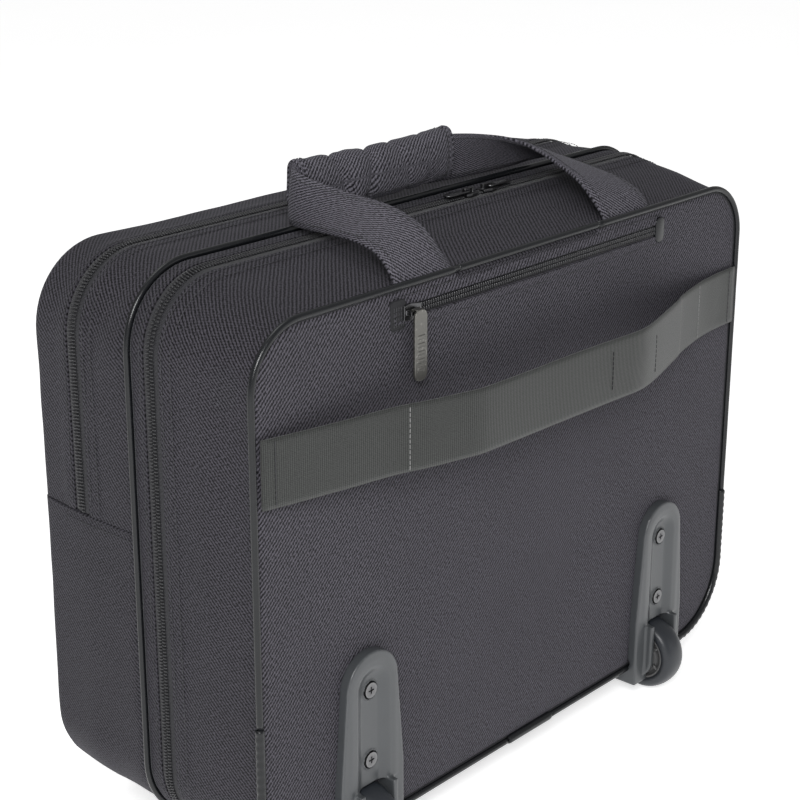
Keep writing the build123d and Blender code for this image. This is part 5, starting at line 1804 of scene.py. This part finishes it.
pkts = [pocket("k0", -160, -60, 150, 236, 92.7, 94.9, "lining_cloth"), pocket("k1", -50, 50, 150, 222, 92.7, 94.9, "lining_cloth"), pocket("k2", 60, 160, 150, 236, 92.7, 94.9, "lining_cloth")]
for (a, b, t) in ((-160, -60, 236), (-50, 50, 222), (60, 160, 236)):
    ln = np.array([[x, 94.2, t - 0.8] for x in np.linspace(a + 3, b - 3, 24)])
    pkts.append(tube("kb", ln, np.tile([0, 0, 1.0], (24, 1)), np.tile(YD, (24, 1)), 2.2, 1.2, 8, False, "webbing_strap"))
for i in range(4):
    xa = -56 + i * 28
    arc = [(xa, 92.8), (xa + 0.7, 95.4), (xa + 3.2, 97.4), (xa + 9, 98.0), (xa + 14.8, 97.4), (xa + 17.3, 95.4), (xa + 18, 92.8)]
    arc = catmull(arc, 4)
    V = []
    for z in (240.0, 244.0, 254.0, 264.0, 268.0):
        V += [(x, y, z) for x, y in arc]
    lo_ = mesh_obj("pl", V, grid_faces(5, len(arc)), [(i_ * MM, v[2] * MM) for i_, v in enumerate(V)], mat="webbing_strap")
    orient(lo_, centre=W(np.array([[xa + 9, 92.8, 254]]))[0])
    solidify(lo_, 1.0)
    orient_closed(lo_)
    pkts.append(lo_)
put(join("organiser_pockets_cloth", pkts), "front_section", "lining", "organiser_pockets")
x0, x1, y0, y1, z0, z1 = nb("flap_inner_pocket")
fip = [pad("fi", x0, x1, y0 - 0.4, y1, z0, z1, 8, "lining_cloth", n=8, quilt=100.0)]
ln = np.array([[x, y0, z1 - 1.0] for x in np.linspace(x0 + 6, x1 - 6, 40)])
fip.append(tube("fb", ln, np.tile([0, 0, 1.0], (40, 1)), np.tile(YD, (40, 1)), 2.4, 1.0, 8, False, "webbing_strap"))
put(join("flap_inner_pocket_cloth", fip), "organiser_flap", "lining", "flap_inner_pocket")

# cloth hinge along the bottom behind the front section
P, Q = peri(70.0)
bi = [i for i in idx_range(I_CUT_L, I_CUT_R) if abs(P[i, 0]) < 176]
V, UV = [], []
hy = np.linspace(60.0, 80.0, 13)
hx = np.linspace(-172, 172, 60)
for y in hy:
    o = 0.9 + 0.5 * math.exp(-((y - 70) / 3.0) ** 2)
    z0b = station(y)[1]
    V.append(np.c_[hx, np.full(60, y), z0b - o + 0 * hx])
    UV.append(np.c_[hx * MM, np.full(60, y * MM)])
V, UV = np.concatenate(V), np.concatenate(UV)
hw_ = mesh_obj("bottom_hinge_cloth", V, grid_faces(len(hy), 60), UV, mat="twill_gusset")
orient(hw_, direction=(0, 0, -1))
solidify(hw_, 0.8)
orient_closed(hw_)
a = W(np.array([[0, 67.0, -1.2], [0, 73.0, -1.2]]))
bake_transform(hw_)

# ---------------------------------------------------------------- feet
x0, x1, y0, y1, z0, z1 = nb("front_feet")
ft = softened("front_feet", "front_feet_moulded", 1.0, 5, "rubber_foot")
put(ft, "front_section", "housing_plastic", "front_feet")


# ---------------------------------------------------------------- CAD nodes that stay, with their finishes
def finish_node(node, mat, smooth_deg=35):
    o = frame["nodes"][node]
    for s_ in range(len(o.material_slots)):
        o.material_slots[s_].material = MATS[mat]
    if not o.material_slots:
        o.data.materials.append(MATS[mat])


KEEP = {
    "handle_outer_tubes": "alu_tube", "stage_1_tubes": "alu_tube", "stage_2_tubes": "alu_tube", "stage_3_tubes": "alu_tube",
    "handle_outer_collars": "plastic_black", "stage_1_collars": "plastic_black", "stage_2_collars": "plastic_black",
    "handle_lower_bracket": "plastic_black", "handle_upper_bracket": "plastic_black",
    "wheel_axles": "steel", "housing_screws": "gunmetal", "wheel_bearings_left": "steel", "wheel_bearings_right": "steel",
}
for node, mat in KEEP.items():
    finish_node(node, mat)

gr = softened("pull_grip", "pull_grip_moulded", 0.7, 5, "plastic_black")
put(gr, "handle_stage_3", "handle_plastic", "pull_grip")
# coil spring under the button
x0, x1, y0, y1, z0, z1 = nb("button_spring")
an = np.linspace(0, 6 * 2 * math.pi, 6 * 20)
rad = np.c_[np.cos(an), np.sin(an), np.zeros(len(an))]
hel = np.array([[(x0 + x1) / 2, (y0 + y1) / 2, 0.0]]) + rad * ((x1 - x0) / 2 - 0.45) + np.c_[np.zeros(len(an)), np.zeros(len(an)), np.linspace(z0 + 0.42, z1 - 0.45, len(an))]
spr = tube("button_spring_coil", hel, rad, np.tile([0, 0, 1.0], (len(an), 1)), 0.42, 0.40, 8, False, "steel")
put(spr, "handle_stage_3", "steel", "button_spring")
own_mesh(spr)
gb = softened("grip_button", "grip_button_moulded", 0.6, 4, "plastic_grey")
put(gb, "grip_button", "handle_plastic", "grip_button")
for node, mat, sl_ in (("main_slider_left", "gunmetal", "zip_metal"), ("main_slider_right", "gunmetal", "zip_metal"), ("back_slider", "gunmetal", "zip_metal"),
                       ("organiser_slider", "gunmetal", "zip_metal"), ("main_pull_left", "gunmetal", "pull_metal"), ("main_pull_right", "gunmetal", "pull_metal"),
                       ("organiser_pull", "gunmetal", "pull_metal"), ("back_pull", "pull_metal", "pull_metal")):
    o = softened(node, node + "_cast", 0.24, 1, mat)
    dec = o.modifiers.new("d", "DECIMATE")
    dec.ratio = 0.45
    apply_mods(o)
    o.data.polygons.foreach_set("use_smooth", [True] * len(o.data.polygons))
    put(o, frame["nodes"][node]["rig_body"], sl_, node)


# ---------------------------------------------------------------- stage, light and camera
def floor_mat():
    m, nt, bs = new_mat("floor_paper")
    ob = N(nt, "ShaderNodeTexCoord").outputs["Object"]
    nz = N(nt, "ShaderNodeTexNoise", i_Scale=3.0, i_Detail=3.0)
    nt.links.new(ob, nz.inputs["Vector"])
    nt.links.new(ramp(nt, nz.outputs["Fac"], [(0.3, (0.95, 0.95, 0.95)), (0.7, (0.97, 0.97, 0.97))]), bs.inputs["Base Color"])
    bs.inputs["Roughness"].default_value = 0.9
    bs.inputs["Emission Color"].default_value = (1, 1, 1, 1)
    bs.inputs["Emission Strength"].default_value = 0.62
    return m


floor_mat()
n_ = 3
V = [(x, y, -0.0004) for y in (-14, 14) for x in (-14, 14)]
fl = mesh_obj("floor", V, [(0, 1, 3, 2)], [(x, y) for x, y, _ in V], mat="floor_paper", local=False)

w = bpy.data.worlds.new("studio")
scene.world = w
w.use_nodes = True
bg = w.node_tree.nodes["Background"]
bg.inputs[0].default_value = (1.0, 1.0, 1.0, 1)
wn = w.node_tree
lpath = wn.nodes.new("ShaderNodeLightPath")
wmix = wn.nodes.new("ShaderNodeMapRange")
wmix.inputs["To Min"].default_value = 0.36
wmix.inputs["To Max"].default_value = 1.0
wn.links.new(lpath.outputs["Is Camera Ray"], wmix.inputs["Value"])
wn.links.new(wmix.outputs["Result"], bg.inputs[1])


def area(name, loc, target, size, size_y, power, colour=(1, 1, 1)):
    d = bpy.data.lights.new(name, "AREA")
    d.shape = "RECTANGLE"
    d.size, d.size_y = size, size_y
    d.energy = power
    d.color = colour
    o = bpy.data.objects.new(name, d)
    scene.collection.objects.link(o)
    o.location = loc
    o.rotation_euler = (Vector(target) - Vector(loc)).to_track_quat("-Z", "Y").to_euler()
    return o


area("key", (0.98, 0.80, 0.98), (0.05, 0, 0.22), 0.5, 0.5, 14.5)
area("top", (0.2, -0.5, 2.1), (0, 0, 0.2), 1.0, 1.0, 8)
area("fill", (-1.0, 1.9, 0.6), (0, 0, 0.15), 0.8, 0.9, 2)

cam = bpy.data.cameras.new("camera")
cam.sensor_width = 36.0
cam.lens = 83.43
cam.shift_x = 0.0
cam.shift_y = -0.0025
cam.clip_start = 0.01
cam.clip_end = 60
co_ = bpy.data.objects.new("camera", cam)
scene.collection.objects.link(co_)
co_.location = (0.8191, 0.6958, 0.6084)
co_.rotation_euler = Vector((-0.7044, -0.6270, -0.3327)).to_track_quat("-Z", "Y").to_euler()
scene.camera = co_
scene.view_settings.view_transform = "Standard"
scene.view_settings.look = "None"
